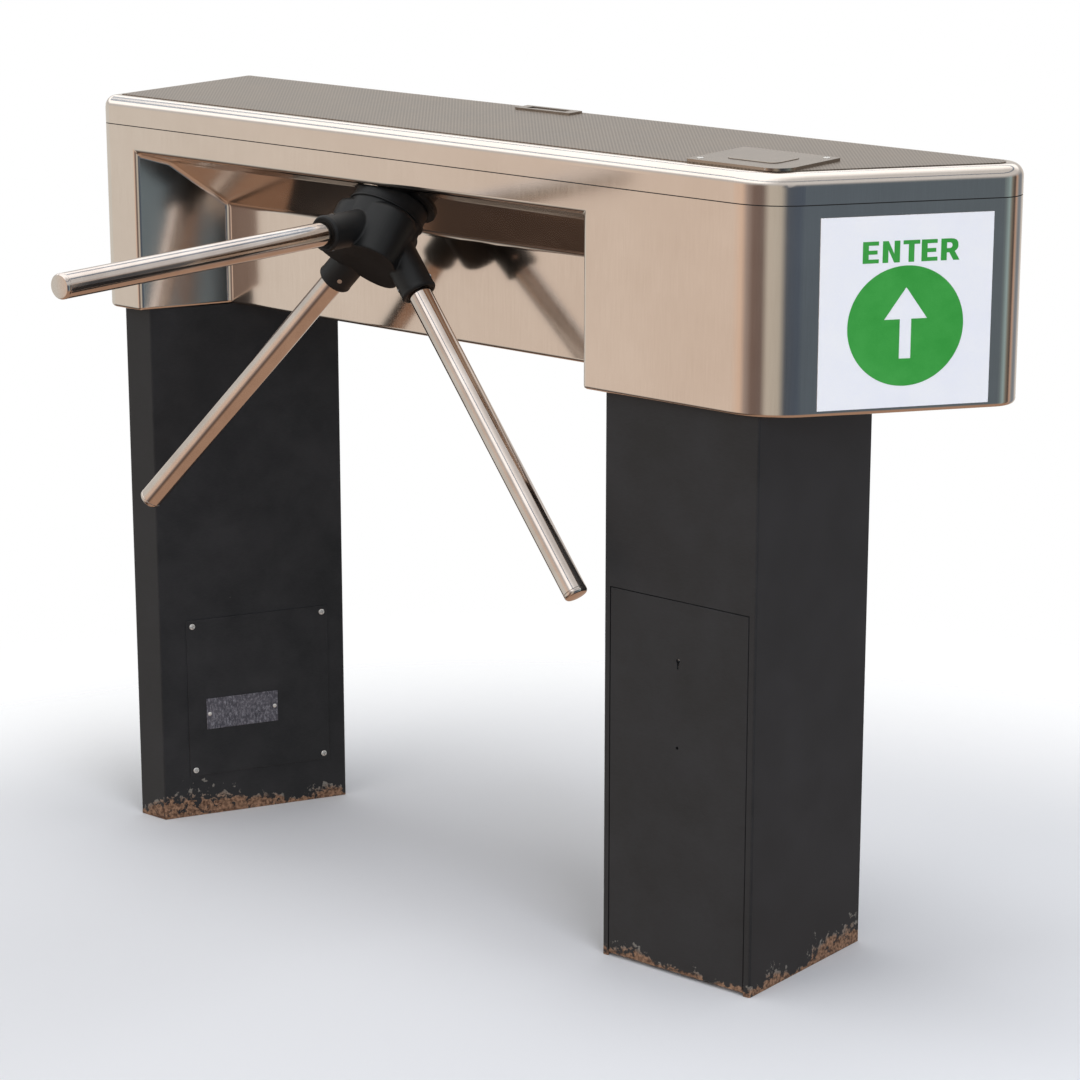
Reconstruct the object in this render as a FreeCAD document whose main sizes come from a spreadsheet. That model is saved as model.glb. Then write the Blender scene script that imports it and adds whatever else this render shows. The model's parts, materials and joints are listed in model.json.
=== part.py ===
import FreeCAD, Part
import os
import re
import Sketcher
from FreeCAD import Rotation, Vector

# Visitor counter turnstile: a waist-high tripod turnstile on two painted posts.
# Millimetres. +X runs along the cabinet, +Y away from the arms' side, +Z up.
# The origin is the centre of the left post's four anchor holes, at floor level.

doc = FreeCAD.newDocument("VisitorCounterTurnstile")

SIZES = {
    # posts
    "post_depth": 236, "post_wall": 2.5, "post_fold": 3, "plate_thick": 8,
    "left_post_side": 36, "left_post_front": 47, "left_post_angle": 27.9,
    "right_post_width": 224, "post_pitch": 813, "door_clearance": 16,
    "anchor_radius": 6, "left_anchor_x": 18, "right_anchor_x": 80, "anchor_y": 75,
    "head_bolt_y": 70, "head_bolt_shift": 10, "head_bolt_radius": 5, "bolt_play": 0.25,
    "head_bolt_head": 8.5, "head_bolt_high": 6.4, "head_bolt_nut": 8, "cable_way": 12,
    # cabinet: the shell stands on the posts and the lid on the shell
    "cabinet_bottom": 717.5, "shell_high": 245.5, "lid_high": 37,
    "seam_height": "=cabinet_bottom + shell_high", "overall_height": "=seam_height + lid_high",
    "front_overhang": 15, "back_overhang": 30, "end_overhang": 18, "nose_overhang": 14.7,
    "end_angle": 37.1, "sheet": 2, "seam_gap": 1.2,
    "small_corner": 16, "nose_corner": 92, "tail_corner": 34, "lid_edge": 15.5,
    "inlay_thick": 0.8, "inlay_inset": 20.5, "gasket_inset": 0.4,
    "guide_length": 60, "guide_thick": 3, "guide_high": 26, "guide_inset": 150, "guide_play": 0.4,
    "guide_lip": 12,
    # arm recess
    "recess_left": 9.6, "recess_gap": 23.7, "recess_angle": 25.8, "recess_depth": 113.9,
    "recess_right": "=post_pitch - left_post_side - recess_gap",
    "lip_drop": 34.5, "crease_drop": 109.5, "ceiling_angle": 19.1,
    "lip_height": "=seam_height - lip_drop", "crease_height": "=seam_height - crease_drop",
    # rotor
    "lean": 40, "hub_x": 416.6, "hub_slope": 83, "hub_standoff": 37.9, "arm_angle": 50,
    "hub_flat": 46, "hub_corner": 35, "hub_nose": 60, "hub_top": 8, "cap_thick": 3,
    "cap_inset": 0.6, "neck_radius": 48, "neck_start": 4, "neck_play": 0.5,
    "shroud_radius": 56, "shroud_thick": 4, "shroud_play": 2, "shroud_bore": 30,
    "socket_radius": 22, "socket_start": 20, "socket_reach": 108, "socket_depth": 62,
    "arm_radius": 15, "arm_reach": 545, "arm_wall": 1.5, "arm_cap": 6, "arm_plug": 12,
    "pin_radius": 3, "pin_inset": 16, "pin_proud": 0.6,
    # mechanism
    "shaft_radius": 12.45, "shaft_play": 0.05, "shaft_bore": "=shaft_radius + shaft_play",
    "shaft_start": 12, "shaft_end": 11, "nut_radius": 18, "nut_thick": 9,
    "bearing_radius": 26, "bearing_width": 15, "bearing_lip": 4,
    "mech_wide": 160, "mech_up": 40, "mech_down": 72, "mech_thick": 6,
    "barrel_radius": 34, "barrel_flange": 46, "barrel_length": 60, "flange_thick": 8,
    "disc_radius": 42, "disc_thick": 8, "disc_gap": 3, "notch_wide": 14, "notch_deep": 9,
    "stud_radius": 4, "stud_x": 70, "stud_up": 6, "stud_inset": 12, "stud_nut": 7, "stud_proud": 12,
    "pawl_gap": 1, "pawl_length": 60, "pawl_offset": 20, "pawl_boss": 8, "pawl_stem": 4,
    "pawl_play": 0.05, "tooth_setback": 11, "tooth_high": 10,
    "sensor_wide": 10, "sensor_long": 14, "sensor_gap": 3,
    "coil_wide": 14, "coil_long": 30, "coil_high": 18,
    # service door
    "door_left": 8.6, "door_right": 9.4, "door_low": 4, "door_top": 477, "door_gap": 1.2,
    "door_width": "=right_post_width - door_left - door_right",
    "door_thick": 2.5, "hinge_height": 9, "knuckle_radius": 4, "hinge_pin": 2.5,
    "hinge_play": 0.05, "hinge_gap": 0.4, "leaf_length": 24, "leaf_high": 26, "ear_length": 8,
    "ear_gap": 0.3, "ear_deep": 14,
    "keyhole_drop": 78, "keyhole_radius": 3, "keyhole_slot": 3, "keyhole_tail": 7,
    "keyhole_height": "=door_top - keyhole_drop", "vent_drop": 184, "vent_radius": 2,
    "lock_wide": 44, "lock_deep": 14, "lock_below": 30, "lock_above": 50, "key_radius": 3.5,
    "latch_wide": 16, "latch_thick": 6, "latch_length": 52, "latch_play": 0.2, "latch_lift": 16,
    # access panel and nameplate
    "access_left": 37, "access_width": 204, "access_low": 58, "access_high": 282,
    "access_thick": 1.5, "access_border": 22, "screw_inset": 8.5,
    "screw_head": 4, "screw_high": 1.6, "screw_shank": 2.1, "screw_play": 0.1,
    "name_left": 62.7, "name_low": 124, "name_width": 103, "name_high": 44, "name_thick": 1,
    "rivet_inset": 4.5, "rivet_head": 2.8, "rivet_high": 1, "rivet_shank": 1.5,
    # entry sign
    "sign_centre": 168.5, "sign_lift": 7.5, "sign_width": 208, "sign_high": 223,
    "sign_low": "=cabinet_bottom + sign_lift", "sign_thick": 1, "disc_lift": 102.5,
    "disc_height": "=cabinet_bottom + disc_lift", "sign_disc": 70, "vinyl_thick": 0.4,
    "arrow_tip": 45, "arrow_shoulder": 8, "arrow_half": 26, "shaft_half": 7, "arrow_foot": 38,
    # reader plate and counter window on the lid
    "reader_shift": 141.5, "reader_x": "=post_pitch + reader_shift", "reader_front": 21.5,
    "reader_wide": 136, "reader_deep": 116, "reader_thick": 3.5, "reader_corner": 26,
    "plate_corner": 3, "reader_screw": 12,
    "pad_wide": 72, "pad_deep": 56, "pad_thick": 1, "pad_corner": 12,
    "window_x": 504, "window_back": 22, "bezel_wide": 88, "bezel_deep": 26, "bezel_thick": 2.5,
    "glass_wide": 62, "glass_deep": 13, "glass_thick": 2, "glass_drop": 0.5,
    "drum_radius": 9, "drum_wide": 8, "drum_pitch": 9.5, "drum_drop": 21, "axle_radius": 2,
    "case_wide": 46, "case_deep": 26, "case_high": 30, "case_drop": 36,
    "bracket_wide": 40, "bracket_thick": 3, "bracket_high": 30,
    # electronics
    "board_long": 140, "board_wide": 90, "board_thick": 1.6, "board_lift": 10, "pillar_radius": 3,
    "pillar_inset": 6, "board_gap": 40, "supply_long": 110, "supply_wide": 60, "supply_high": 42,
    "block_long": 60, "block_wide": 22, "block_high": 26,
}

sheet = doc.addObject("Spreadsheet::Sheet", "Dims")
for row, (alias, value) in enumerate(SIZES.items(), start=1):
    sheet.set(f"A{row}", alias)
    sheet.set(f"B{row}", str(value))
    sheet.setAlias(f"B{row}", alias)
doc.recompute()

PARTS = []


def formula(text):
    """Spell a size formula out for the expression engine."""
    return re.sub(r"[a-z]\w+", lambda word: "Dims." * (word[0] in SIZES) + word[0], str(text))


def number(text):
    return float(sheet.evalExpression(formula(text)))


def bind(thing, **sizes):
    for name, text in sizes.items():
        thing.setExpression(name, formula(text))
    return thing


def locate(thing, x=0, y=0, z=0, axis=None, angle=0):
    """Place an object, turned about an axis, by formulas."""
    if axis:
        thing.Placement.Rotation = Rotation(Vector(*axis), 1)
        thing.setExpression("Placement.Rotation.Angle", formula(angle))
    for name, text in (("x", x), ("y", y), ("z", z)):
        thing.setExpression("Placement.Base." + name, formula(text))
    return thing


def box(length, width, height, x=0, y=0, z=0):
    block = bind(doc.addObject("Part::Box", "Block"), Length=length, Width=width, Height=height)
    return locate(block, x, y, z)


def centred_box(length, width, height, x=0, y=0, z=0):
    return box(length, width, height, f"({x}) - ({length}) / 2", f"({y}) - ({width}) / 2", z)


TURNS = {"z": (), "x": ((0, 1, 0), 90), "y": ((1, 0, 0), -90)}
REACH = 2  # how far a cutting shape runs past the faces it cuts


def rod(radius, height, x=0, y=0, z=0, along="z"):
    """A cylinder that starts at a point and runs along a positive axis."""
    bar = bind(doc.addObject("Part::Cylinder", "Rod"), Radius=radius, Height=height)
    return locate(bar, x, y, z, *TURNS[along])


def prism(points, low, high, corners=None):
    """A PartDesign pad on the XY plane with chosen corners rounded."""
    body = doc.addObject("PartDesign::Body", "Prism")
    sketch = body.newObject("Sketcher::SketchObject", "Outline")
    ground = next(item for item in body.Origin.OriginFeatures if item.Role == "XY_Plane")
    sketch.AttachmentSupport = [(ground, "")]
    sketch.MapMode = "FlatFace"
    spots = [Vector(number(x), number(y), 0) for x, y in points]
    for start, end in zip(spots, spots[1:] + spots[:1]):
        sketch.addGeometry(Part.LineSegment(start, end), False)
    for index, (x, y) in enumerate(points):
        previous = (index - 1) % len(points)
        sketch.addConstraint(Sketcher.Constraint("Coincident", previous, 2, index, 1))
        for kind, text, value in (("X", x, spots[index].x), ("Y", y, spots[index].y)):
            rule = Sketcher.Constraint("Distance" + kind, -1, 1, index, 1, value)
            sketch.setExpression(f"Constraints[{sketch.addConstraint(rule)}]", formula(text))
    pad = bind(body.newObject("PartDesign::Pad", "Pad"), Length=f"({high}) - ({low})")
    pad.Profile = sketch
    sketch.Visibility = False
    doc.recompute()
    for index, radius in (corners or {}).items():
        base = body.Tip
        edge = next(f"Edge{n}" for n, edge in enumerate(base.Shape.Edges, start=1) if all(
            (Vector(v.X, v.Y, 0) - spots[index]).Length < 1e-4 for v in edge.Vertexes))
        fillet = bind(body.newObject("PartDesign::Fillet", "Corner"), Radius=radius)
        fillet.Base = (base, [edge])
        doc.recompute()
    return locate(body, 0, 0, low)


def fuse(*shapes):
    joined = doc.addObject("Part::MultiFuse", "Joined")
    joined.Shapes = list(shapes)
    return joined


def common(first, second):
    shared = doc.addObject("Part::MultiCommon", "Shared")
    shared.Shapes = [first, second]
    return shared


def cut(base, *tools):
    result = doc.addObject("Part::Cut", "Trimmed")
    result.Base = base
    result.Tool = tools[0] if len(tools) == 1 else group(*tools)
    return result


def group(*shapes):
    bundle = doc.addObject("Part::Compound", "Bundle")
    bundle.Links = list(shapes)
    return bundle


def part(label, shape):
    shape.Label = label
    PARTS.append(shape)
    return shape


# Shared positions, as formulas
POST_FRONT = "(-post_depth / 2)"
POST_BACK = "(post_depth / 2)"
RIGHT_POST = "(post_pitch - left_post_side)"
RIGHT_MIDDLE = f"({RIGHT_POST} + right_post_width / 2)"
CABINET_FRONT = f"({POST_FRONT} - front_overhang)"
CABINET_BACK = f"({POST_BACK} + back_overhang)"
CABINET_LEFT = "(-left_post_side - end_overhang)"
NOSE_X = f"({RIGHT_POST} + right_post_width + nose_overhang)"
FLOOR = "(cabinet_bottom + sheet)"
SHELL_TOP = "(seam_height - seam_gap / 2)"
LID_BOTTOM = "(seam_height + seam_gap / 2)"
LID_TOP = "(overall_height - inlay_thick)"
RECESS_BACK = f"({CABINET_FRONT} + recess_depth)"
AXIS_Y = f"({RECESS_BACK} - hub_slope * cos(lean) - hub_standoff * sin(lean))"
AXIS_Z = "(crease_height + hub_slope * sin(lean) - hub_standoff * cos(lean))"


def on_rotor_axis(shape):
    """Local Z runs up the leaning rotor axis from the point where the arms meet."""
    return locate(shape, "hub_x", AXIS_Y, AXIS_Z, (1, 0, 0), "-lean")


def on_slanted_post(shape):
    """Local X runs back along the left post's slanted side; local -Y faces out."""
    return locate(shape, "left_post_front - left_post_side", POST_FRONT, 0,
                  (0, 0, 1), "90 - left_post_angle")


def on_nose(shape):
    """Local X runs back along the cabinet's slanted end; local -Y faces out."""
    return locate(shape, NOSE_X, CABINET_FRONT, 0, (0, 0, 1), "90 - end_angle")


# ---------------------------------------------------------------- posts
def left_post_outline(inset):
    slanted = f"(left_post_front - left_post_side - ({inset}) / cos(left_post_angle))"
    return [
        (f"-left_post_side + {inset}", f"{POST_FRONT} + {inset}"),
        (f"{slanted} + ({inset}) * tan(left_post_angle)", f"{POST_FRONT} + {inset}"),
        (f"{slanted} + (post_depth - ({inset})) * tan(left_post_angle)", f"{POST_BACK} - ({inset})"),
        (f"-left_post_side + {inset}", f"{POST_BACK} - ({inset})"),
    ]


def right_post_outline(inset, front_inset):
    left, right = f"{RIGHT_POST} + {inset}", f"{RIGHT_POST} + right_post_width - ({inset})"
    front, back = f"{POST_FRONT} + {front_inset}", f"{POST_BACK} - ({inset})"
    return [(left, front), (right, front), (right, back), (left, back)]


FOLDS = {corner: "post_fold" for corner in range(4)}
access_hole = on_slanted_post(group(box(
    "access_width - 2 * access_border", 20, "access_high - access_low - 2 * access_border",
    "access_left + access_border", -10, "access_low + access_border")))
left_tube = cut(prism(left_post_outline("0"), "0", "cabinet_bottom", FOLDS),
                prism(left_post_outline("post_wall"), "-1", "cabinet_bottom + 1"), access_hole)
part("left_post", left_tube)

door_hole = box("door_width", 20, "door_top + 5", f"{RIGHT_POST} + door_left", f"{POST_FRONT} - 10", -5)
right_tube = cut(prism(right_post_outline("0", "0"), "0", "cabinet_bottom", FOLDS),
                 prism(right_post_outline("post_wall", "post_wall"), "-1", "cabinet_bottom + 1"),
                 door_hole)
part("right_post", right_tube)


def four_rods(radius, low, high, x, spread_x, y, spread_y):
    return [rod(radius, f"({high}) - ({low})", f"{x} + {i} * {spread_x}", f"{y} + {j} * {spread_y}", low)
            for i in (-1, 1) for j in (-1, 1)]


def post_plates(side, base_outline, head_outline, middle, anchor_x):
    anchors = four_rods("anchor_radius", "-1", "plate_thick + 1", middle, anchor_x, "0", "anchor_y")
    part(f"{side}_base_plate", cut(prism(base_outline, "0", "plate_thick"), *anchors))
    under, over = "cabinet_bottom - plate_thick - 1", "cabinet_bottom + 1"
    bolt_holes = four_rods("head_bolt_radius + bolt_play", under, over, middle, anchor_x,
                           "head_bolt_shift", "head_bolt_y")
    cable_hole = rod("cable_way", "plate_thick + 2", middle, "head_bolt_shift", under)
    head = prism(head_outline, "cabinet_bottom - plate_thick", "cabinet_bottom")
    part(f"{side}_head_plate", cut(head, *bolt_holes, cable_hole))


LEFT_INSIDE = left_post_outline("post_wall")
post_plates("left", LEFT_INSIDE, LEFT_INSIDE, "0", "left_anchor_x")
post_plates("right", right_post_outline("post_wall", "door_clearance"),
            right_post_outline("post_wall", "post_wall"), RIGHT_MIDDLE, "right_anchor_x")

# Bolts that hold the cabinet down on the posts: shank with head above and nut below.
bolt_solids = []
NUT_BOTTOM = "(cabinet_bottom - plate_thick - head_bolt_nut)"
for middle, spread in (("0", "left_anchor_x"), (RIGHT_MIDDLE, "right_anchor_x")):
    place = (middle, spread, "head_bolt_shift", "head_bolt_y")
    heads = four_rods("head_bolt_head", FLOOR, f"{FLOOR} + head_bolt_high", *place)
    shanks = four_rods("head_bolt_radius", f"{NUT_BOTTOM} - 1", f"{FLOOR} + 1", *place)
    nuts = four_rods("head_bolt_head", NUT_BOTTOM, "cabinet_bottom - plate_thick", *place)
    bolt_solids += [fuse(*solids) for solids in zip(heads, shanks, nuts)]
part("cabinet_bolts", group(*bolt_solids))

# Access panel and nameplate on the left post's slanted side
panel = box("access_width", "access_thick", "access_high - access_low",
            "access_left", "-access_thick", "access_low")
panel_spots = [(x, z) for x in ("access_left + screw_inset", "access_left + access_width - screw_inset")
               for z in ("access_low + screw_inset", "access_high - screw_inset")]
screw_holes = [rod("screw_shank + screw_play", f"access_thick + 2 * {REACH}",
                   x, f"-access_thick - {REACH}", z, "y") for x, z in panel_spots]
part("access_panel", on_slanted_post(cut(panel, *screw_holes)))
part("access_panel_screws", on_slanted_post(group(*[
    fuse(rod("screw_head", "screw_high", x, "-access_thick - screw_high", z, "y"),
         rod("screw_shank", "access_thick + 1", x, "-access_thick - 1", z, "y"))
    for x, z in panel_spots])))
NAME_FACE = "(-access_thick - name_thick)"
NAME_MIDDLE = "(name_low + name_high / 2)"
rivet_spots = ["name_left + rivet_inset", "name_left + name_width - rivet_inset"]
rivet_holes = [rod("rivet_shank + screw_play", f"name_thick + 2 * {REACH}",
                   x, f"{NAME_FACE} - {REACH}", NAME_MIDDLE, "y") for x in rivet_spots]
part("nameplate", on_slanted_post(cut(
    box("name_width", "name_thick", "name_high", "name_left", NAME_FACE, "name_low"), *rivet_holes)))
part("nameplate_rivets", on_slanted_post(group(*[
    fuse(rod("rivet_head", "rivet_high", x, f"{NAME_FACE} - rivet_high", NAME_MIDDLE, "y"),
         rod("rivet_shank", "name_thick + 0.5", x, f"{NAME_FACE} - 0.5", NAME_MIDDLE, "y"))
    for x in rivet_spots])))

# ---------------------------------------------------------------- service door
DOOR_X = f"({RIGHT_POST} + door_left + door_gap)"
PIVOT_Y = f"({POST_FRONT} + door_thick + knuckle_radius)"
door_middle = f"({RIGHT_POST} + door_left + door_width / 2)"
leaf_centres = [f"({door_middle} + {side} * door_width * 0.34)" for side in (-1, 1)]
door_sheet = box("door_width - 2 * door_gap", "door_thick", "door_top - door_gap - door_low",
                 DOOR_X, POST_FRONT, "door_low")
door_skin = (f"door_thick + 2 * {REACH}", door_middle, f"{POST_FRONT} - {REACH}")
keyhole = [rod("keyhole_radius", *door_skin, "keyhole_height + keyhole_slot", "y"),
           box("keyhole_slot", f"door_thick + 2 * {REACH}", "keyhole_slot + keyhole_tail",
               f"{door_middle} - keyhole_slot / 2", f"{POST_FRONT} - {REACH}",
               "keyhole_height - keyhole_tail")]
vent = rod("vent_radius", *door_skin, "door_top - vent_drop", "y")
part("service_door", cut(door_sheet, *keyhole, vent))


def hinge_eye(radius, x, length, leaf):
    """A rolled hinge eye with its leaf, bored for the pin."""
    eye = rod(radius, length, x, PIVOT_Y, "hinge_height", "x")
    bore = rod("hinge_pin + hinge_play", f"{length} + 2", f"{x} - 1", PIVOT_Y, "hinge_height", "x")
    return cut(fuse(eye, leaf), bore)


LEAF_THICK = "(knuckle_radius / 2)"
part("door_hinge_leaves", group(*[
    hinge_eye("knuckle_radius", f"{centre} - leaf_length / 2", "leaf_length",
              box("leaf_length", LEAF_THICK, "leaf_high",
                  f"{centre} - leaf_length / 2", f"{POST_FRONT} + door_thick", "hinge_height"))
    for centre in leaf_centres]))
bracket_solids = []
HALF_BRACKET = "(leaf_length / 2 + ear_gap + ear_length)"
for centre in leaf_centres:
    ears = [hinge_eye("knuckle_radius - hinge_gap", x, "ear_length",
                      box("ear_length", "ear_deep", LEAF_THICK, x, PIVOT_Y, "plate_thick"))
            for x in (f"{centre} - {HALF_BRACKET}", f"{centre} + leaf_length / 2 + ear_gap")]
    bridge = box(f"2 * {HALF_BRACKET}", "knuckle_radius", "knuckle_radius",
                 f"{centre} - {HALF_BRACKET}", f"{PIVOT_Y} + ear_deep - knuckle_radius", "plate_thick")
    bracket_solids.append(fuse(*ears, bridge))
part("door_hinge_brackets", group(*bracket_solids))
part("door_hinge_pins", group(*[
    rod("hinge_pin", f"2 * {HALF_BRACKET} + 1.4", f"{centre} - {HALF_BRACKET} - 0.7",
        PIVOT_Y, "hinge_height", "x") for centre in leaf_centres]))

CASE_Y = f"({POST_FRONT} + door_thick)"
LATCH_Y = f"({CASE_Y} + lock_deep / 2 + 1)"
CASE_LOW, CASE_HIGH = "(keyhole_height - lock_below)", "(keyhole_height + lock_above)"
part("door_lock_case", cut(
    centred_box("lock_wide", "lock_deep", f"{CASE_HIGH} - {CASE_LOW}",
                door_middle, f"{CASE_Y} + lock_deep / 2", CASE_LOW),
    centred_box("latch_wide + 2 * latch_play", "latch_thick + 2 * latch_play", "lock_above",
                door_middle, LATCH_Y, "keyhole_height + latch_lift - 6"),
    rod("key_radius", "lock_deep / 2 + 2", door_middle, f"{CASE_Y} - 1", "keyhole_height", "y")))
part("door_lock_bolt", centred_box("latch_wide", "latch_thick", "latch_length",
                                   door_middle, LATCH_Y, "keyhole_height + latch_lift"))

# ---------------------------------------------------------------- cabinet shell
def cabinet_outline(inset):
    def slanted(y):
        return f"({NOSE_X} + ({y} - {CABINET_FRONT}) * tan(end_angle) - ({inset}) / cos(end_angle))"
    front, back = f"({CABINET_FRONT} + {inset})", f"({CABINET_BACK} - ({inset}))"
    left = f"{CABINET_LEFT} + {inset}"
    return [(left, front), (slanted(front), front), (slanted(back), back), (left, back)]


def cabinet_corners(inset):
    radii = ("small_corner", "nose_corner", "tail_corner", "small_corner")
    return {index: f"{radius} - ({inset})" for index, radius in enumerate(radii)}


def cabinet_prism(inset, low, high):
    return prism(cabinet_outline(inset), low, high, cabinet_corners(inset))


def recess_block(grow):
    """The space cut out of the cabinet for the rotor, or its outside when grown by the sheet.
    It is seen from above in one outline and from the end in the other."""
    front, back = f"({CABINET_FRONT} - 12)", f"({RECESS_BACK} + {grow})"
    right = f"(recess_right + {grow})"

    def slanted(y):
        return (f"(recess_left + ({y} - {CABINET_FRONT}) * tan(recess_angle)"
                f" - ({grow}) / cos(recess_angle))")
    plan = prism([(slanted(front), front), (right, front), (right, back), (slanted(back), back)],
                 "cabinet_bottom - 12", "overall_height")
    lift = f"(({grow}) / cos(lean))"
    knee_y = (f"((crease_height + {lift} - lip_height - ({grow}) + {RECESS_BACK} * tan(lean)"
              f" - {CABINET_FRONT} * tan(ceiling_angle)) / (tan(lean) - tan(ceiling_angle)))")

    def ceiling(y):
        return f"(lip_height + ({grow}) - ({y} - {CABINET_FRONT}) * tan(ceiling_angle))"
    low = "(cabinet_bottom - 6)"
    side = [(front, low), (back, low), (back, f"crease_height + {lift} - ({grow}) * tan(lean)"),
            (knee_y, ceiling(knee_y)), (front, ceiling(front))]
    profile = prism(side, "0", "overall_height")
    # The profile's sketch X and Y become the cabinet's Y and Z.
    profile.Placement.Rotation = Rotation(Vector(1, 1, 1), 120)
    return common(plan, locate(profile, "0", "0", "0"))


cavity = cut(cabinet_prism("sheet", FLOOR, "seam_height + 5"), recess_block("sheet"))
hub_ways = on_rotor_axis(group(
    rod("neck_radius + shroud_play", "hub_standoff - shroud_thick", 0, 0, 0),
    rod("shroud_radius + shroud_play", "shroud_thick + 1", 0, 0, "hub_standoff - shroud_thick - 1"),
    rod("shroud_bore", 30, 0, 0, "hub_standoff - 5")))
floor_holes = []
for middle, spread in (("0", "left_anchor_x"), (RIGHT_MIDDLE, "right_anchor_x")):
    floor_holes += four_rods("head_bolt_radius + bolt_play", "cabinet_bottom - 1", f"{FLOOR} + 1",
                             middle, spread, "head_bolt_shift", "head_bolt_y")
    floor_holes.append(rod("cable_way", 6, middle, "head_bolt_shift", f"cabinet_bottom - {REACH}"))
part("housing_shell", cut(cabinet_prism("0", "cabinet_bottom", SHELL_TOP),
                          cavity, recess_block("0"), hub_ways, *floor_holes))

part("lid_gasket", cut(cabinet_prism("gasket_inset", SHELL_TOP, LID_BOTTOM),
                       cabinet_prism("sheet", "seam_height - 5", "seam_height + 5")))
# Each guide is a rail on the shell's wall with a thinner lip that the lid slides down over.
guide_spots = [(f"{CABINET_LEFT} + guide_inset", f"{CABINET_FRONT} + sheet", 1),
               (f"{RIGHT_MIDDLE} - guide_inset", f"{CABINET_FRONT} + sheet", 1),
               (f"{CABINET_LEFT} + guide_inset", f"{CABINET_BACK} - sheet", -1),
               (f"{RIGHT_MIDDLE} - guide_inset / 3", f"{CABINET_BACK} - sheet", -1)]
LIP_THICK = "(guide_thick - 2 * guide_play)"
part("lid_guides", group(*[
    fuse(centred_box("guide_length", "guide_thick", "guide_high",
                     x, f"{wall} + {side} * guide_thick / 2", "seam_height - guide_high"),
         centred_box("guide_length", LIP_THICK, "guide_lip",
                     x, f"{wall} + {side} * (guide_play + guide_thick / 2)", "seam_height - 1"))
    for x, wall, side in guide_spots]))

# ---------------------------------------------------------------- lid
def lid_solid(inset, low, high):
    body = cabinet_prism(inset, low, high)
    thick = number(high) - number(low)
    rim = [f"Edge{n}" for n, edge in enumerate(body.Shape.Edges, start=1)
           if edge.BoundBox.ZMin > thick - 1e-4]
    base = body.Tip
    fillet = bind(body.newObject("PartDesign::Fillet", "Rim"), Radius=f"lid_edge - ({inset})")
    fillet.Base = (base, rim)
    doc.recompute()
    return body


READER_Y = f"({CABINET_FRONT} + reader_front + reader_deep / 2)"
WINDOW_Y = f"({CABINET_BACK} - window_back - bezel_deep / 2)"


def window_cut(start):
    return centred_box("glass_wide", "glass_deep", 20, "window_x", WINDOW_Y, start)


part("lid_cover", cut(lid_solid("0", LID_BOTTOM, LID_TOP),
                      lid_solid("sheet", "seam_height - 5", f"{LID_TOP} - sheet"),
                      window_cut("overall_height - 10")))
inlay = prism(cabinet_outline("inlay_inset"), LID_TOP, "overall_height",
              {1: "nose_corner - inlay_inset", 2: "tail_corner - inlay_inset"})
part("lid_inlay", cut(inlay, window_cut("overall_height - 10")))


def centred_outline(wide, deep):
    left, right = f"reader_x - {wide} / 2", f"reader_x + {wide} / 2"
    near, far = f"{READER_Y} - {deep} / 2", f"{READER_Y} + {deep} / 2"
    return [(left, near), (right, near), (right, far), (left, far)]


READER_TOP = "(overall_height + reader_thick)"
reader = prism(centred_outline("reader_wide", "reader_deep"), "overall_height", READER_TOP,
               {0: "plate_corner", 1: "reader_corner", 2: "plate_corner", 3: "plate_corner"})
SCREW_X, SCREW_Y = "(reader_wide / 2 - reader_screw)", "(reader_deep / 2 - reader_screw)"
reader_spots = [(f"reader_x + {side} * {SCREW_X}", f"{READER_Y} + {side} * {SCREW_Y}") for side in (-1, 1)]
part("reader_plate", cut(reader, *[
    rod("screw_shank + screw_play", "reader_thick + 6", x, y, "overall_height - 2") for x, y in reader_spots]))
part("reader_screws", group(*[
    fuse(rod("screw_head", "screw_high", x, y, READER_TOP),
         rod("screw_shank", "reader_thick + 0.5", x, y, "overall_height")) for x, y in reader_spots]))
part("reader_pad", prism(centred_outline("pad_wide", "pad_deep"), READER_TOP, f"{READER_TOP} + pad_thick",
                         {corner: "pad_corner" for corner in range(4)}))

bezel = centred_box("bezel_wide", "bezel_deep", "bezel_thick", "window_x", WINDOW_Y, "overall_height")
part("counter_bezel", cut(bezel, window_cut("overall_height - 5")))
part("counter_window", centred_box("glass_wide", "glass_deep", "glass_thick",
                                   "window_x", WINDOW_Y, "overall_height - glass_drop"))

# ---------------------------------------------------------------- entry sign
SIGN_LEFT = "(sign_centre - sign_width / 2)"
part("entry_sign", on_nose(group(
    box("sign_width", "sign_thick", "sign_high", SIGN_LEFT, "-sign_thick", "sign_low"))))
arrow = [("shaft_half", "-arrow_foot"), ("shaft_half", "arrow_shoulder"), ("arrow_half", "arrow_shoulder"),
         ("0", "arrow_tip"), ("-arrow_half", "arrow_shoulder"), ("-shaft_half", "arrow_shoulder"),
         ("-shaft_half", "-arrow_foot")]
vinyl = cut(rod("sign_disc", "vinyl_thick", 0, 0, 0), prism(arrow, "-1", "2"))
locate(vinyl, "sign_centre", "-sign_thick", "disc_height", (1, 0, 0), 90)
part("entry_sign_disc", on_nose(group(vinyl)))

# ---------------------------------------------------------------- rotor
SHEET_BACK = "(hub_standoff + sheet)"
PLATE_BACK = f"({SHEET_BACK} + mech_thick)"
BARREL_BACK = f"({PLATE_BACK} + barrel_length)"
DISC_LOW = f"({BARREL_BACK} + disc_gap)"
NUT_LOW = f"({DISC_LOW} + disc_thick)"
BEARING_FRONT = PLATE_BACK
BEARING_REAR = f"({BARREL_BACK} - bearing_width)"


def hub_prism(inset, low, high):
    reach = f"2 * (hub_flat - ({inset}))"
    tips = [(f"{reach} * sin({angle})", f"-{reach} * cos({angle})") for angle in (60, 180, 300)]
    return prism(tips, low, high, {corner: f"hub_corner - ({inset})" for corner in range(3)})


def on_arm(shape, index):
    """Swing a shape round the rotor axis onto one of the three arms."""
    return locate(group(shape), axis=(0, 0, 1), angle=f"120 * {index}")


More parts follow.
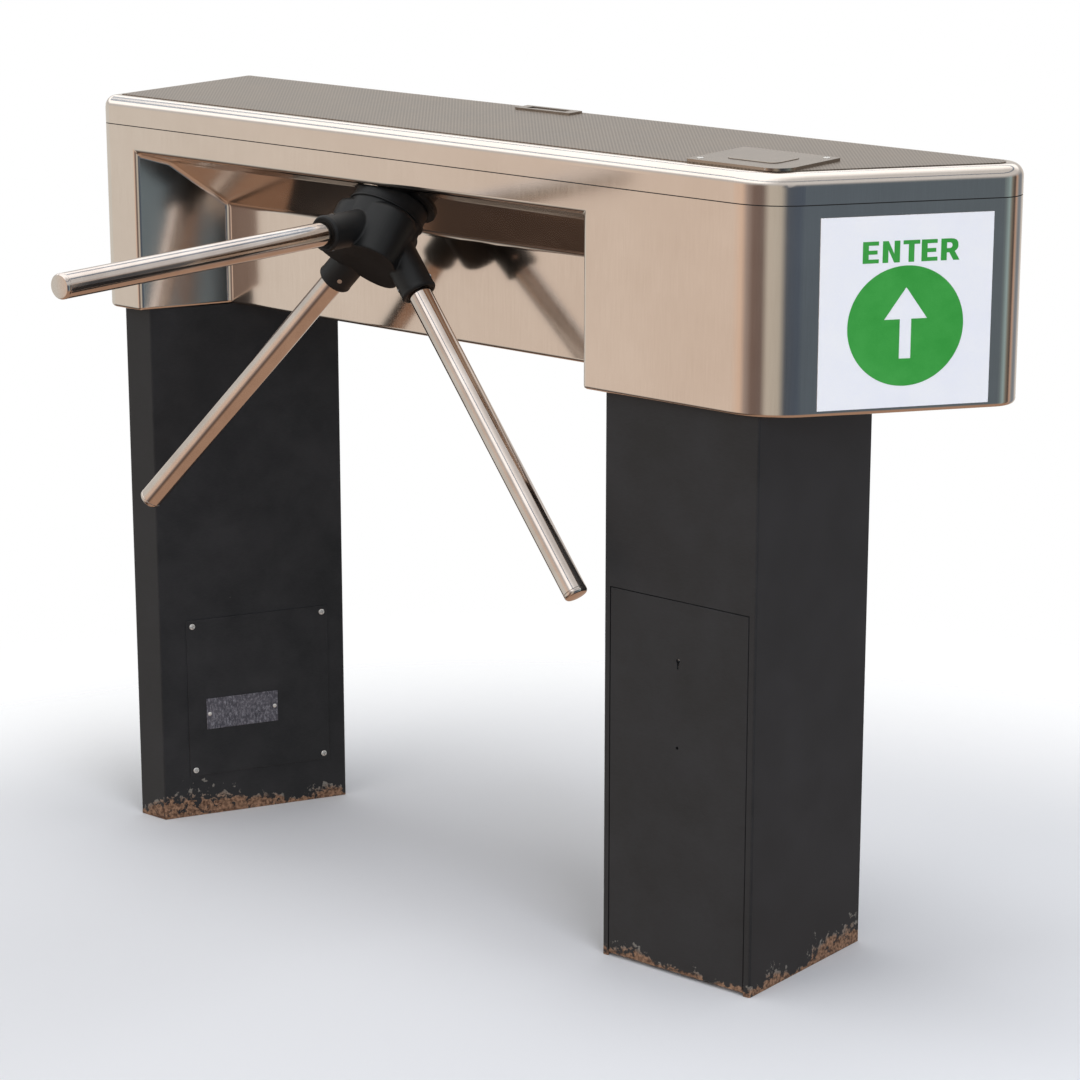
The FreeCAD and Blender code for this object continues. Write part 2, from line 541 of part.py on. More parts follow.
def arm_rod(radius, start, end, index):
    """A rod along an arm, measured from the point where the arms meet."""
    bar = bind(doc.addObject("Part::Cylinder", "ArmRod"), Radius=radius, Height=f"({end}) - ({start})")
    locate(bar, 0, f"-({start}) * sin(arm_angle)", f"-({start}) * cos(arm_angle)",
           (1, 0, 0), "180 - arm_angle")
    return on_arm(bar, index)


BORE_START = "(socket_reach - socket_depth)"
PIN_PLACE = "(socket_reach - pin_inset)"


def arm_pin(radius, index, half):
    """A cross pin through an arm and its socket, square to the arm and in line with the rotor axis."""
    pin = bind(doc.addObject("Part::Cylinder", "Pin"), Radius=radius, Height=f"2 * ({half})")
    locate(pin, 0, f"-{PIN_PLACE} * sin(arm_angle) - ({half}) * cos(arm_angle)",
           f"({half}) * sin(arm_angle) - {PIN_PLACE} * cos(arm_angle)", (1, 0, 0), "270 - arm_angle")
    return on_arm(pin, index)


SHAFT_LOW = "(-hub_nose + cap_thick + shaft_start)"
NECK_TOP = "(hub_standoff - shroud_thick - neck_play)"
ARMS = range(3)
sockets = [arm_rod("socket_radius", "socket_start", "socket_reach", index) for index in ARMS]
bores = [arm_rod("arm_radius", BORE_START, f"socket_reach + {REACH}", index) for index in ARMS]
pin_holes = [arm_pin("pin_radius", index, "socket_radius + 3") for index in ARMS]
hub_solid = fuse(hub_prism("0", "-hub_nose + cap_thick", "hub_top"),
                 rod("neck_radius", f"{NECK_TOP} - neck_start", 0, 0, "neck_start"), *sockets)
shaft_hole = rod("shaft_radius", f"{NECK_TOP} - {SHAFT_LOW} + {REACH}", 0, 0, SHAFT_LOW)
part("hub_body", on_rotor_axis(cut(hub_solid, *bores, *pin_holes, shaft_hole)))
cap_reliefs = [arm_rod("socket_radius + cap_inset / 2", "socket_start", "socket_reach", index)
               for index in ARMS]
part("hub_cap", on_rotor_axis(cut(hub_prism("cap_inset", "-hub_nose", "-hub_nose + cap_thick"), *cap_reliefs)))

TUBE_END = "(arm_reach - arm_cap)"
for index in ARMS:
    tube = cut(arm_rod("arm_radius", BORE_START, TUBE_END, index),
               arm_rod("arm_radius - arm_wall", f"{BORE_START} - 1", f"{TUBE_END} + 1", index),
               arm_pin("pin_radius", index, "socket_radius + 3"))
    part(f"arm_tube_{index + 1}", on_rotor_axis(group(tube)))
    plug = fuse(arm_rod("arm_radius", TUBE_END, "arm_reach", index),
                arm_rod("arm_radius - arm_wall", f"{TUBE_END} - arm_plug", f"{TUBE_END} + 1", index))
    part(f"arm_end_cap_{index + 1}", on_rotor_axis(group(plug)))
part("arm_pins", on_rotor_axis(group(*[
    arm_pin("pin_radius", index, "socket_radius + pin_proud") for index in ARMS])))

part("main_shaft", on_rotor_axis(group(
    rod("shaft_radius", f"{NUT_LOW} + shaft_end - {SHAFT_LOW}", 0, 0, SHAFT_LOW))))


def bored_disc(radius, bore, low, thick):
    """A ring on the rotor axis."""
    return cut(rod(radius, thick, 0, 0, low), rod(bore, f"({thick}) + 2 * {REACH}", 0, 0, f"{low} - {REACH}"))


notches = []
for index in ARMS:
    notch = centred_box("notch_wide", "notch_deep * 2", f"disc_thick + 2 * {REACH}",
                        0, "disc_radius", f"{DISC_LOW} - {REACH}")
    notches.append(locate(group(notch), axis=(0, 0, 1), angle=f"120 * {index} + 90"))
part("index_disc", on_rotor_axis(cut(
    bored_disc("disc_radius", "shaft_radius", DISC_LOW, "disc_thick"), *notches)))
part("shaft_nut", on_rotor_axis(bored_disc("nut_radius", "shaft_radius", NUT_LOW, "nut_thick")))

# ---------------------------------------------------------------- mechanism behind the recess
part("hub_shroud", on_rotor_axis(group(
    bored_disc("shroud_radius", "shroud_bore", "(hub_standoff - shroud_thick)", "shroud_thick"))))

stud_spots = [(f"{side} * stud_x", y) for side in (-1, 1) for y in ("stud_up", "mech_down - stud_inset")]
mech_plate = box("mech_wide", "mech_up + mech_down", "mech_thick", "-mech_wide / 2", "-mech_up", SHEET_BACK)
stud_holes = [rod("stud_radius", f"mech_thick + 2 * {REACH}", x, y, f"{SHEET_BACK} - {REACH}")
              for x, y in stud_spots]
part("mechanism_plate", on_rotor_axis(cut(
    mech_plate, rod("shroud_bore", 40, 0, 0, "hub_standoff"), *stud_holes)))
part("mechanism_studs", on_rotor_axis(group(*[
    fuse(rod("stud_radius", "mech_thick + stud_proud", x, y, SHEET_BACK),
         rod("stud_nut", 6.5, x, y, PLATE_BACK)) for x, y in stud_spots])))

barrel = fuse(rod("barrel_flange", "flange_thick", 0, 0, PLATE_BACK),
              rod("barrel_radius", "barrel_length", 0, 0, PLATE_BACK))
seats = [rod("bearing_radius", f"bearing_width + {REACH}", 0, 0, low)
         for low in (f"{BEARING_FRONT} - {REACH}", BEARING_REAR)]
part("bearing_housing", on_rotor_axis(cut(
    barrel, rod("bearing_radius - bearing_lip", "barrel_length", 0, 0, f"{PLATE_BACK} + 1"), *seats)))
for label, low in (("front_bearing", BEARING_FRONT), ("rear_bearing", BEARING_REAR)):
    part(label, on_rotor_axis(bored_disc("bearing_radius", "shaft_bore", low, "bearing_width")))

# Locking pawl beside the index disc, on a post that stands on the mechanism plate
PAWL_X = "(-disc_radius - pawl_offset)"
PAWL_Y = "(pawl_length - 2 * pawl_boss)"
PAWL_LOW, PAWL_THICK = f"({DISC_LOW} + 0.5)", "(disc_thick - 1)"
part("pawl_post", on_rotor_axis(fuse(
    rod("pawl_boss + 1", f"{DISC_LOW} - {PLATE_BACK} - 1", PAWL_X, PAWL_Y, PLATE_BACK),
    rod("pawl_stem", f"{NUT_LOW} + 3 - {PLATE_BACK}", PAWL_X, PAWL_Y, PLATE_BACK))))
TOOTH_LENGTH = "(pawl_offset - pawl_stem / 2 - pawl_gap - pawl_stem)"
pawl_arm = fuse(rod("pawl_boss", PAWL_THICK, PAWL_X, PAWL_Y, PAWL_LOW),
                box("2 * pawl_stem", "pawl_length", PAWL_THICK,
                    f"{PAWL_X} - pawl_stem", f"{PAWL_Y} - pawl_length", PAWL_LOW),
                box(TOOTH_LENGTH, "tooth_high", PAWL_THICK,
                    f"{PAWL_X} + pawl_stem / 2", f"{PAWL_Y} - pawl_length + tooth_setback", PAWL_LOW))
part("lock_pawl", on_rotor_axis(cut(pawl_arm, rod(
    "pawl_stem + pawl_play", f"disc_thick + 2 * {REACH}", PAWL_X, PAWL_Y, f"{DISC_LOW} - {REACH}"))))
coil_y = "-mech_up + pawl_stem"
part("lock_solenoid", on_rotor_axis(fuse(
    box("coil_wide", "coil_long", f"{DISC_LOW} - {PLATE_BACK} - 8",
        f"{PAWL_X} - coil_wide - 1.5", coil_y, PLATE_BACK),
    box("coil_wide", "coil_long", "coil_high",
        f"{PAWL_X} - coil_wide - pawl_stem - 3", coil_y, f"{DISC_LOW} - 8"))))
sensor_y = "-mech_up + sensor_wide"
part("pulse_sensor", on_rotor_axis(fuse(
    box("sensor_wide", "sensor_long", f"{DISC_LOW} - {PLATE_BACK} + 4",
        "disc_radius + sensor_gap + 9", sensor_y, PLATE_BACK),
    box("sensor_wide", "sensor_long", 8, "disc_radius + sensor_gap", sensor_y, DISC_LOW))))

# ---------------------------------------------------------------- counter under the lid window
DRUM_Z = "(overall_height - drum_drop)"
CASE_BOTTOM = "(overall_height - case_drop)"
case_hollow = centred_box("3 * drum_pitch + 3", "2 * drum_radius + 2", "case_high + 10",
                          "window_x", WINDOW_Y, f"{DRUM_Z} - drum_radius - 1.5")
part("counter_case", cut(
    centred_box("case_wide", "case_deep", "case_high", "window_x", WINDOW_Y, CASE_BOTTOM), case_hollow,
    rod("axle_radius", "case_wide + 14", "window_x - case_wide / 2 - 7", WINDOW_Y, DRUM_Z, "x")))
part("counter_axle", rod("axle_radius", "case_wide", "window_x - case_wide / 2", WINDOW_Y, DRUM_Z, "x"))
for index, step in enumerate((1, 0, -1), start=1):
    drum_start = f"window_x + {step} * drum_pitch - drum_wide / 2"
    part(f"counter_drum_{index}", cut(
        rod("drum_radius", "drum_wide", drum_start, WINDOW_Y, DRUM_Z, "x"),
        rod("axle_radius + hinge_play", f"drum_wide + 2 * {REACH}", f"{drum_start} - {REACH}",
            WINDOW_Y, DRUM_Z, "x")))
part("counter_bracket", fuse(
    box("bracket_wide", f"{CABINET_BACK} - sheet - {WINDOW_Y} + case_deep / 2", "bracket_thick",
        "window_x - bracket_wide / 2", f"{WINDOW_Y} - case_deep / 2", f"{CASE_BOTTOM} - bracket_thick"),
    box("bracket_wide", "bracket_thick", "bracket_high", "window_x - bracket_wide / 2",
        f"{CABINET_BACK} - sheet - bracket_thick", f"{CASE_BOTTOM} - bracket_thick - bracket_high")))

# ---------------------------------------------------------------- electronics on the cabinet floor
BOARD_X, BOARD_Y = "(recess_right + board_gap)", "(-board_gap)"
BOARD_TOP = f"({FLOOR} + board_lift + board_thick)"
pillars = [rod("pillar_radius", "board_lift", x, y, FLOOR)
           for x in (f"{BOARD_X} + pillar_inset", f"{BOARD_X} + board_long - pillar_inset")
           for y in (f"{BOARD_Y} + pillar_inset", f"{BOARD_Y} + board_wide - pillar_inset")]
part("control_board", fuse(
    box("board_long", "board_wide", "board_thick", BOARD_X, BOARD_Y, f"{FLOOR} + board_lift"), *pillars,
    box(24, 24, 6, f"{BOARD_X} + 58", f"{BOARD_Y} + 32", f"{BOARD_TOP} - 0.6"),
    box(60, 10, 12, f"{BOARD_X} + 12", f"{BOARD_Y} + board_wide - 14", f"{BOARD_TOP} - 0.6")))
SUPPLY_Y = "(head_bolt_shift + head_bolt_y)"
part("power_supply", box("supply_long", "supply_wide", "supply_high",
                         f"{RIGHT_MIDDLE} - supply_long / 2", f"{SUPPLY_Y} - 10", FLOOR))
part("terminal_block", box("block_long", "block_wide", "block_high",
                           f"{RIGHT_MIDDLE} + right_anchor_x + 25", SUPPLY_Y, FLOOR))

# ---------------------------------------------------------------- checks and files
doc.recompute()
for item in doc.Objects:
    if {"Invalid", "Error"} & set(item.State):
        raise RuntimeError(f"{item.Label} did not build: {item.State}")
os.makedirs("parts", exist_ok=True)
for item in PARTS:
    if item.Shape.isNull() or not item.Shape.isValid():
        raise RuntimeError(f"{item.Label} has no valid shape")
    item.Shape.exportStep(f"parts/{item.Label}.step")
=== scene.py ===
import json
import math

import bmesh
import bpy
from mathutils import Matrix, Vector

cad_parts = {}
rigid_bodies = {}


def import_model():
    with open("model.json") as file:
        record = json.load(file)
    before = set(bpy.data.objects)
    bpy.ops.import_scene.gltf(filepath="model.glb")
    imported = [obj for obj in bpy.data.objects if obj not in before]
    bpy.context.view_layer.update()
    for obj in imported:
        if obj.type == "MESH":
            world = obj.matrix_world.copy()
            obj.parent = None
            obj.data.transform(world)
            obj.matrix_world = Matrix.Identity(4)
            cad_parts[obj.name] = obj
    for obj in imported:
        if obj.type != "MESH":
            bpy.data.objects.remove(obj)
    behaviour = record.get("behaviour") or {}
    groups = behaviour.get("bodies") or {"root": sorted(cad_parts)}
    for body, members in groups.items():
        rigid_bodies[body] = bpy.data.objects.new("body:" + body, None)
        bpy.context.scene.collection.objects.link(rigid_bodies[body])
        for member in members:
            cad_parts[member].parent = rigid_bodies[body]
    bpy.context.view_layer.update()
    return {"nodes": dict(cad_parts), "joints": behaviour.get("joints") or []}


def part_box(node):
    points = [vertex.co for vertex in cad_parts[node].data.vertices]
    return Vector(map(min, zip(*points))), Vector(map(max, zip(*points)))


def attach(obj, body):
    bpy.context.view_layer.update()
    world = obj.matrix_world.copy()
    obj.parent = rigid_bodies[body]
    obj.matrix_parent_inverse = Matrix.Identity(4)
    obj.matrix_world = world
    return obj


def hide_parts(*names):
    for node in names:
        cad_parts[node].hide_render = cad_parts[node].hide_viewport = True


# A waist-high tripod turnstile with a visitor counter, in metres.
# +X runs along the cabinet, -Y faces the walkway, +Z is up.

for leftover in list(bpy.data.objects):
    bpy.data.objects.remove(leftover)
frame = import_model()
nodes = frame["nodes"]
MM = 0.001


# ---------------------------------------------------------------- finishes
def linear(colour):
    """An sRGB hex colour as linear red, green, blue and alpha."""
    parts = [int(colour[start:start + 2], 16) / 255 for start in (0, 2, 4)]
    return tuple(c / 12.92 if c <= 0.04045 else ((c + 0.055) / 1.055) ** 2.4
                 for c in parts) + (1,)


def add(tree, kind, links=(), **settings):
    """Add a node with its settings; links gives sockets a value or another node's output.
    MapRange takes 0 its value, 1 and 2 the range it comes from and 3 and 4 the range it goes
    to. Mix takes 0 the share, 2 and 3 two numbers, or 6 and 7 two colours."""
    node = tree.nodes.new("ShaderNode" + kind)
    for name, value in settings.items():
        setattr(node, name, value)
    for socket, value in dict(links).items():
        if isinstance(value, bpy.types.NodeSocket):
            tree.links.new(value, node.inputs[socket])
        else:
            node.inputs[socket].default_value = value
    return node


def per_metre(millimetres):
    """The texture scale whose features are this many millimetres apart."""
    return 1 / (millimetres * MM)


# A noise texture mostly stays between these two values.
NOISE_LOW, NOISE_HIGH = 0.3, 0.7
# How much the grain counts beside the patches, and the spread of the two together that is
# drawn out over the tones and over the roughness.
GRAIN_SHARE = 0.5
TONE_LOW, TONE_HIGH = 0.2, 1.3
ROUGH_LOW, ROUGH_HIGH = 0.1, 1.4


def finish(name, dark, light, metallic, roughness, patch, grain, relief=0.0, run=(1, 1, 1),
           **uniform):
    """A finish that drifts between two tones in patches, with grain in its roughness and relief.
    patch and grain are in millimetres, relief is the depth of the grain in millimetres,
    run draws the grain out along the axes where it is small, and uniform sets shader sockets
    that are the same all over."""
    made = bpy.data.materials.new(name)
    made.use_nodes = True
    tree = made.node_tree
    shader = tree.nodes["Principled BSDF"]
    place = add(tree, "TexCoord").outputs["Object"]
    patches = add(tree, "TexNoise", {
        "Vector": place, "Scale": per_metre(patch), "Detail": 5.0, "Roughness": 0.6}).outputs[0]
    patches = add(tree, "MapRange", {0: patches, 1: NOISE_LOW, 2: NOISE_HIGH}).outputs[0]
    along = add(tree, "Mapping", {"Vector": place, "Scale": run}).outputs[0]
    grains = add(tree, "TexNoise", {
        "Vector": along, "Scale": per_metre(grain), "Detail": 4.0}).outputs[0]
    fine = add(tree, "MapRange", {
        0: grains, 1: NOISE_LOW, 2: NOISE_HIGH, 4: GRAIN_SHARE}).outputs[0]
    mixed = add(tree, "Math", {0: patches, 1: fine}, operation="ADD").outputs[0]
    share = add(tree, "MapRange", {0: mixed, 1: TONE_LOW, 2: TONE_HIGH}).outputs[0]
    tone = add(tree, "Mix", {0: share, 6: linear(dark), 7: linear(light)}, data_type="RGBA")
    tree.links.new(tone.outputs[2], shader.inputs["Base Color"])
    rough = add(tree, "MapRange", {
        0: mixed, 1: ROUGH_LOW, 2: ROUGH_HIGH, 3: roughness[0], 4: roughness[1]})
    tree.links.new(rough.outputs[0], shader.inputs["Roughness"])
    shader.inputs["Metallic"].default_value = metallic
    if relief:
        bump = add(tree, "Bump", {"Height": grains, "Distance": relief * MM, "Strength": 1.0})
        tree.links.new(bump.outputs[0], shader.inputs["Normal"])
    for socket, value in uniform.items():
        shader.inputs[socket.replace("_", " ")].default_value = value
    return made


# Cold-rolled stainless sheet, polished with a fine upright grain: soft warm reflections that
# are slightly cloudy from handling.
sheet_steel = finish("rolled_stainless_sheet", "d6ccc3", "dfd6ce", 1.0, (0.09, 0.15), 140, 1.4,
                     run=(1, 1, 0.03))
# Drawn and buffed stainless tube: near-mirror bands with faint lengthwise haze.
tube_steel = finish("buffed_stainless_tube", "c6bab2", "ded5ce", 1.0, (0.06, 0.13), 80, 1.2)
# Milled and brushed stainless plate for the card reader and the counter's bezel: a flat grey
# sheen with lines along the cabinet.
plate_steel = finish("brushed_stainless_plate", "988d82", "a79c91", 1.0, (0.20, 0.28), 40, 1.2,
                     run=(0.05, 1, 1))
# Zinc-plated mild steel: dull blue-grey with a fine crystalline bloom.
zinc = finish("zinc_plated_steel", "8f9398", "b4b8bb", 1.0, (0.30, 0.48), 12, 0.9, relief=0.004)
# Bright passivated zinc on the small screws and rivets: pale points that catch the light.
bright_zinc = finish("passivated_zinc_screws", "cbc9c4", "eae8e3", 0.5, (0.28, 0.40), 4, 0.5,
                     relief=0.002)
# Ground bearing and shaft steel: clean grey with fine grinding lines.
ground_steel = finish("ground_bearing_steel", "9a9a9c", "c6c6c8", 1.0, (0.14, 0.26), 20, 0.5,
                      relief=0.002, run=(1, 0.1, 0.1))
# Drawn brass latch bolt: dull yellow, lightly tarnished.
brass = finish("drawn_brass", "9b7a3e", "c9a561", 1.0, (0.22, 0.38), 9, 0.5, relief=0.003)
# Sand-cast aluminium for the bearing housing: matt and pebbly.
cast_grey = finish("sand_cast_aluminium", "8b8b89", "a9a9a6", 1.0, (0.45, 0.62), 8, 1.1,
                   relief=0.06)
# Black glass-filled nylon moulding: satin, with a fine spark-eroded texture.
nylon = finish("moulded_black_nylon", "0d0e0f", "151617", 0.0, (0.42, 0.55), 30, 0.8,
               relief=0.02, IOR=1.53, Specular_IOR_Level=0.3)
# Extruded black rubber seal: dead matt, so it reads as a dark gap.
rubber = finish("extruded_black_rubber", "0e0e0f", "1a1a1b", 0.0, (0.62, 0.78), 15, 0.6,
                relief=0.02, IOR=1.52)
# Injection-moulded black and grey ABS for the counter case, sensor and supplies: even and
# slightly grained.
black_abs = finish("moulded_black_abs", "18191b", "232427", 0.0, (0.38, 0.52), 18, 0.6,
                   relief=0.01, IOR=1.54)
grey_abs = finish("moulded_grey_abs", "5d6063", "6f7275", 0.0, (0.42, 0.55), 18, 0.6,
                  relief=0.01, IOR=1.54)
# Solder-masked glass-fibre board: dark green with a slight gloss.
board_green = finish("solder_masked_board", "0f3d22", "1b5a33", 0.0, (0.25, 0.40), 6, 0.8,
                     relief=0.01, IOR=1.5)
# Moulded ivory acetal counter drums: waxy and pale.
acetal = finish("moulded_ivory_acetal", "d9d3c2", "e8e3d4", 0.0, (0.35, 0.45), 6, 0.5,
                relief=0.004, IOR=1.48)
# Stove-enamelled aluminium sign face: clean cool white with the faintest orange peel.
enamel = finish("white_stove_enamel", "f6f8ff", "fcfdff", 0.0, (0.28, 0.34), 60, 1.5,
                relief=0.001, IOR=1.52)
# Cast green vinyl film: flat, saturated and lightly glossy.
vinyl = finish("cast_green_vinyl", "359a3c", "42a648", 0.0, (0.30, 0.42), 30, 1.2,
               relief=0.006, IOR=1.52)
# Smoked acrylic window: near-black gloss with the drums faint behind it.
smoked = finish("smoked_acrylic", "15181b", "1f2328", 0.0, (0.04, 0.08), 20, 1.0,
                IOR=1.49, Transmission_Weight=0.75)

# The two corners that take most knocks, how far their damage spreads and how much higher it
# climbs there.
BATTERED_CORNERS = [(0.01, -0.12, 0), (1.0, 0.11, 0)]
KNOCK_NEAR, KNOCK_FAR, KNOCK_CLIMB = 20 * MM, 140 * MM, 2.0
# How high the rust climbs from the foot, between its lowest and highest clusters.
RUST_LOW, RUST_HIGH = 3 * MM, 15 * MM
CHIP_DEPTH, RUST_ROUGHNESS = 0.25 * MM, 0.85


def worn_paint():
    """Powder coat over mild steel: near-black and satin, rubbed in faint level streaks, and
    chipped to rust along the foot where shoes and cleaning machines strike it, worst at two
    corners."""
    made = finish("chipped_black_powder_coat", "1e1f21", "2d2d2f", 0.0, (0.46, 0.62), 70, 1.1,
                  relief=0.006, run=(0.2, 0.2, 1), IOR=1.5, Specular_IOR_Level=0.4)
    tree = made.node_tree
    shader = tree.nodes["Principled BSDF"]
    place = add(tree, "TexCoord").outputs["Object"]
    height = add(tree, "SeparateXYZ", {0: place}).outputs[2]
    clusters = add(tree, "TexNoise", {
        "Vector": place, "Scale": per_metre(60), "Detail": 2.0}).outputs[0]
    reach = add(tree, "MapRange", {
        0: clusters, 1: 0.38, 2: 0.66, 3: RUST_LOW, 4: RUST_HIGH}).outputs[0]
    for corner in BATTERED_CORNERS:
        away = add(tree, "VectorMath", {0: place, 1: corner}, operation="DISTANCE").outputs["Value"]
        climb = add(tree, "MapRange", {
            0: away, 1: KNOCK_NEAR, 2: KNOCK_FAR, 3: KNOCK_CLIMB, 4: 1.0}).outputs[0]
        reach = add(tree, "Math", {0: reach, 1: climb}, operation="MULTIPLY").outputs[0]
    flakes = add(tree, "TexNoise", {
        "Vector": place, "Scale": per_metre(9), "Detail": 8.0, "Roughness": 0.66}).outputs[0]
    # Height above the floor in reaches of the rust: the higher, the fewer flakes have gone.
    climbed = add(tree, "Math", {0: height, 1: reach}, operation="DIVIDE").outputs[0]
    limit = add(tree, "MapRange", {0: climbed, 1: 0.2, 2: 3.4, 3: 0.38, 4: 0.74}).outputs[0]
    bare = add(tree, "Math", {0: flakes, 1: limit}, operation="SUBTRACT").outputs[0]
    bare = add(tree, "MapRange", {0: bare, 2: 0.02}).outputs[0]
    speckle = add(tree, "TexNoise", {
        "Vector": place, "Scale": per_metre(4), "Detail": 6.0}).outputs[0]
    speckle = add(tree, "MapRange", {0: speckle, 1: 0.36, 2: 0.62}).outputs[0]
    rust = add(tree, "Mix", {0: speckle, 6: linear("523b2e"), 7: linear("9c7a61")},
               data_type="RGBA").outputs[2]
    # Loose flakes well above the foot show grey primer, the foot itself shows rust.
    primer = add(tree, "MapRange", {0: climbed, 1: 1.0, 2: 1.7}).outputs[0]
    rust = add(tree, "Mix", {0: primer, 6: rust, 7: linear("7d7972")}, data_type="RGBA").outputs[2]
    painted = shader.inputs["Base Color"].links[0].from_socket
    tone = add(tree, "Mix", {0: bare, 6: painted, 7: rust}, data_type="RGBA").outputs[2]
    tree.links.new(tone, shader.inputs["Base Color"])
    rough = shader.inputs["Roughness"].links[0].from_socket
    rough = add(tree, "Mix", {0: bare, 2: rough, 3: RUST_ROUGHNESS}).outputs[0]
    tree.links.new(rough, shader.inputs["Roughness"])
    grain = shader.inputs["Normal"].links[0].from_socket
    chip = add(tree, "Bump", {"Height": bare, "Distance": -CHIP_DEPTH, "Normal": grain}).outputs[0]
    tree.links.new(chip, shader.inputs["Normal"])
    return made


# The emboss is turned from the cabinet's length; its ribs and cross ribs are this many
# millimetres apart.
EMBOSS_TURN, RIB_APART, CROSS_APART = math.radians(-40), 4, 8
CROSS_SHARE, EMBOSS_DEPTH = 0.3, 0.15 * MM
# A wave texture repeats every pi / 10 of its scale.
WAVE_PERIOD = math.pi / 10


def embossed_sheet():
    """Stainless sheet rolled with a linen emboss: slanted ribs crossed by fainter ones, which
    the eye takes as a close weave."""
    made = finish("linen_embossed_stainless", "71665b", "84796e", 1.0, (0.30, 0.42), 60, 0.8)
    tree = made.node_tree
    shader = tree.nodes["Principled BSDF"]
    place = add(tree, "TexCoord").outputs["Object"]
    slanted = add(tree, "Mapping", {"Vector": place, "Rotation": (0, 0, EMBOSS_TURN)}).outputs[0]
    ribs, crossing = [
        add(tree, "TexWave", {"Vector": slanted, "Scale": WAVE_PERIOD * per_metre(apart)},
            wave_type="BANDS", bands_direction=way, wave_profile="SIN").outputs["Fac"]
        for way, apart in (("X", RIB_APART), ("Y", CROSS_APART))]
    weave = add(tree, "Mix", {0: CROSS_SHARE, 2: ribs, 3: crossing}).outputs[0]
    # The crests of the ribs are painted lighter: a painted highlight where the emboss catches the
    # light, not a colour of the sheet.
    crest_highlight = add(tree, "MapRange", {0: weave, 1: 0.3, 2: 0.9, 4: 0.6}).outputs[0]
    tone = shader.inputs["Base Color"].links[0].from_socket
    tone = add(tree, "Mix", {0: crest_highlight, 6: tone, 7: linear("a5998c")}, data_type="RGBA").outputs[2]
    tree.links.new(tone, shader.inputs["Base Color"])
    bump = add(tree, "Bump", {"Height": weave, "Distance": EMBOSS_DEPTH, "Strength": 0.7})
    tree.links.new(bump.outputs[0], shader.inputs["Normal"])
    return made


def etched_plate():
    """Etched aluminium rating plate with its print worn off: grey, dented and scratched."""
    made = finish("worn_etched_aluminium", "46454c", "69676f", 0.5, (0.35, 0.6), 22, 0.9,
                  relief=0.01)
    tree = made.node_tree
    shader = tree.nodes["Principled BSDF"]
    place = add(tree, "TexCoord").outputs["Object"]
    upright = add(tree, "Mapping", {"Vector": place, "Scale": (1, 1, 0.55)}).outputs[0]
    marks = add(tree, "TexNoise", {
        "Vector": upright, "Scale": per_metre(3), "Detail": 8.0, "Roughness": 0.75}).outputs[0]
    marks = add(tree, "MapRange", {0: marks, 1: 0.47, 2: 0.68}).outputs[0]
    tone = shader.inputs["Base Color"].links[0].from_socket
    tone = add(tree, "Mix", {0: marks, 6: tone, 7: linear("aaa8b0")}, data_type="RGBA").outputs[2]
    tree.links.new(tone, shader.inputs["Base Color"])
    return made


paint = worn_paint()
linen = embossed_sheet()
etched = etched_plate()

# The finish of each CAD node that shows as it is.
COATS = {
    sheet_steel: ["lid_cover"],
    linen: ["lid_inlay"],
    plate_steel: ["counter_bezel"],
    paint: ["left_post", "right_post"],
    zinc: ["left_base_plate", "right_base_plate", "left_head_plate", "right_head_plate",
           "cabinet_bolts", "mechanism_plate", "mechanism_studs", "door_hinge_leaves",
           "door_hinge_brackets", "door_lock_case", "lid_guides", "counter_bracket",
           "index_disc"],
    ground_steel: ["main_shaft", "front_bearing", "rear_bearing", "shaft_nut",
                   "door_hinge_pins", "lock_pawl", "pawl_post", "counter_axle", "arm_pins"],
    brass: ["door_lock_bolt"],
    cast_grey: ["bearing_housing"],
    rubber: ["lid_gasket"],
    black_abs: ["counter_case", "pulse_sensor", "power_supply"],
    grey_abs: ["lock_solenoid", "terminal_block"],
    board_green: ["control_board"],
    acetal: ["counter_drum_1", "counter_drum_2", "counter_drum_3"],
    smoked: ["counter_window"],
    vinyl: ["entry_sign_disc"],
}
for coat, names in COATS.items():
    for name in names:
        nodes[name].data.materials[0] = coat


# ---------------------------------------------------------------- modelling helpers
# Points of a CAD node closer than this are one point, and its flat areas bend less than this.
SAME_POINT, FLAT_ENOUGH = 1e-6, math.radians(0.4)
# The points of a new piece that fall together meet more closely.
SPUN_POINT = 1e-7


def cube(bm, low, high, place):
    """A block between two corners."""
    low, high = Vector(low), Vector(high)
    size = Matrix.Diagonal(high - low).to_4x4()
    middle = Matrix.Translation((low + high) / 2)
    bmesh.ops.create_cube(bm, size=1, matrix=place @ middle @ size)


def soften(bm, edges, radius, segments=3, clamp=True):
    """Round edges off."""
    bmesh.ops.bevel(bm, geom=list(edges), offset=radius, offset_type="OFFSET", segments=segments,
                    profile=0.5, affect="EDGES", clamp_overlap=clamp, material=-1)


def turned(bm, profile, place=Matrix(), steps=48):
    """Spin (radius, height) points round Z into a solid; a profile off the axis makes a ring."""
    before = set(bm.verts)
    verts = [bm.verts.new((radius, 0, height)) for radius, height in profile]
    ends = verts[1:] if profile[0][0] == 0 else verts[1:] + verts[:1]
    edges = [bm.edges.new(pair) for pair in zip(verts, ends)]
    bmesh.ops.spin(bm, geom=verts + edges, cent=(0, 0, 0), axis=(0, 0, 1), angle=2 * math.pi,
                   steps=steps, use_merge=True)
    made = [vert for vert in bm.verts if vert not in before]
    bmesh.ops.remove_doubles(bm, verts=made, dist=SPUN_POINT)
    made = [vert for vert in bm.verts if vert not in before]
    bmesh.ops.transform(bm, matrix=place, verts=made)


def from_cad(name):
    """A merged copy of a CAD node's mesh, with flat areas as single faces."""
    bm = bmesh.new()
    bm.from_mesh(nodes[name].data)
    bmesh.ops.remove_doubles(bm, verts=bm.verts, dist=SAME_POINT)
    bmesh.ops.dissolve_limit(bm, angle_limit=FLAT_ENOUGH, verts=bm.verts, edges=bm.edges)
    return bm


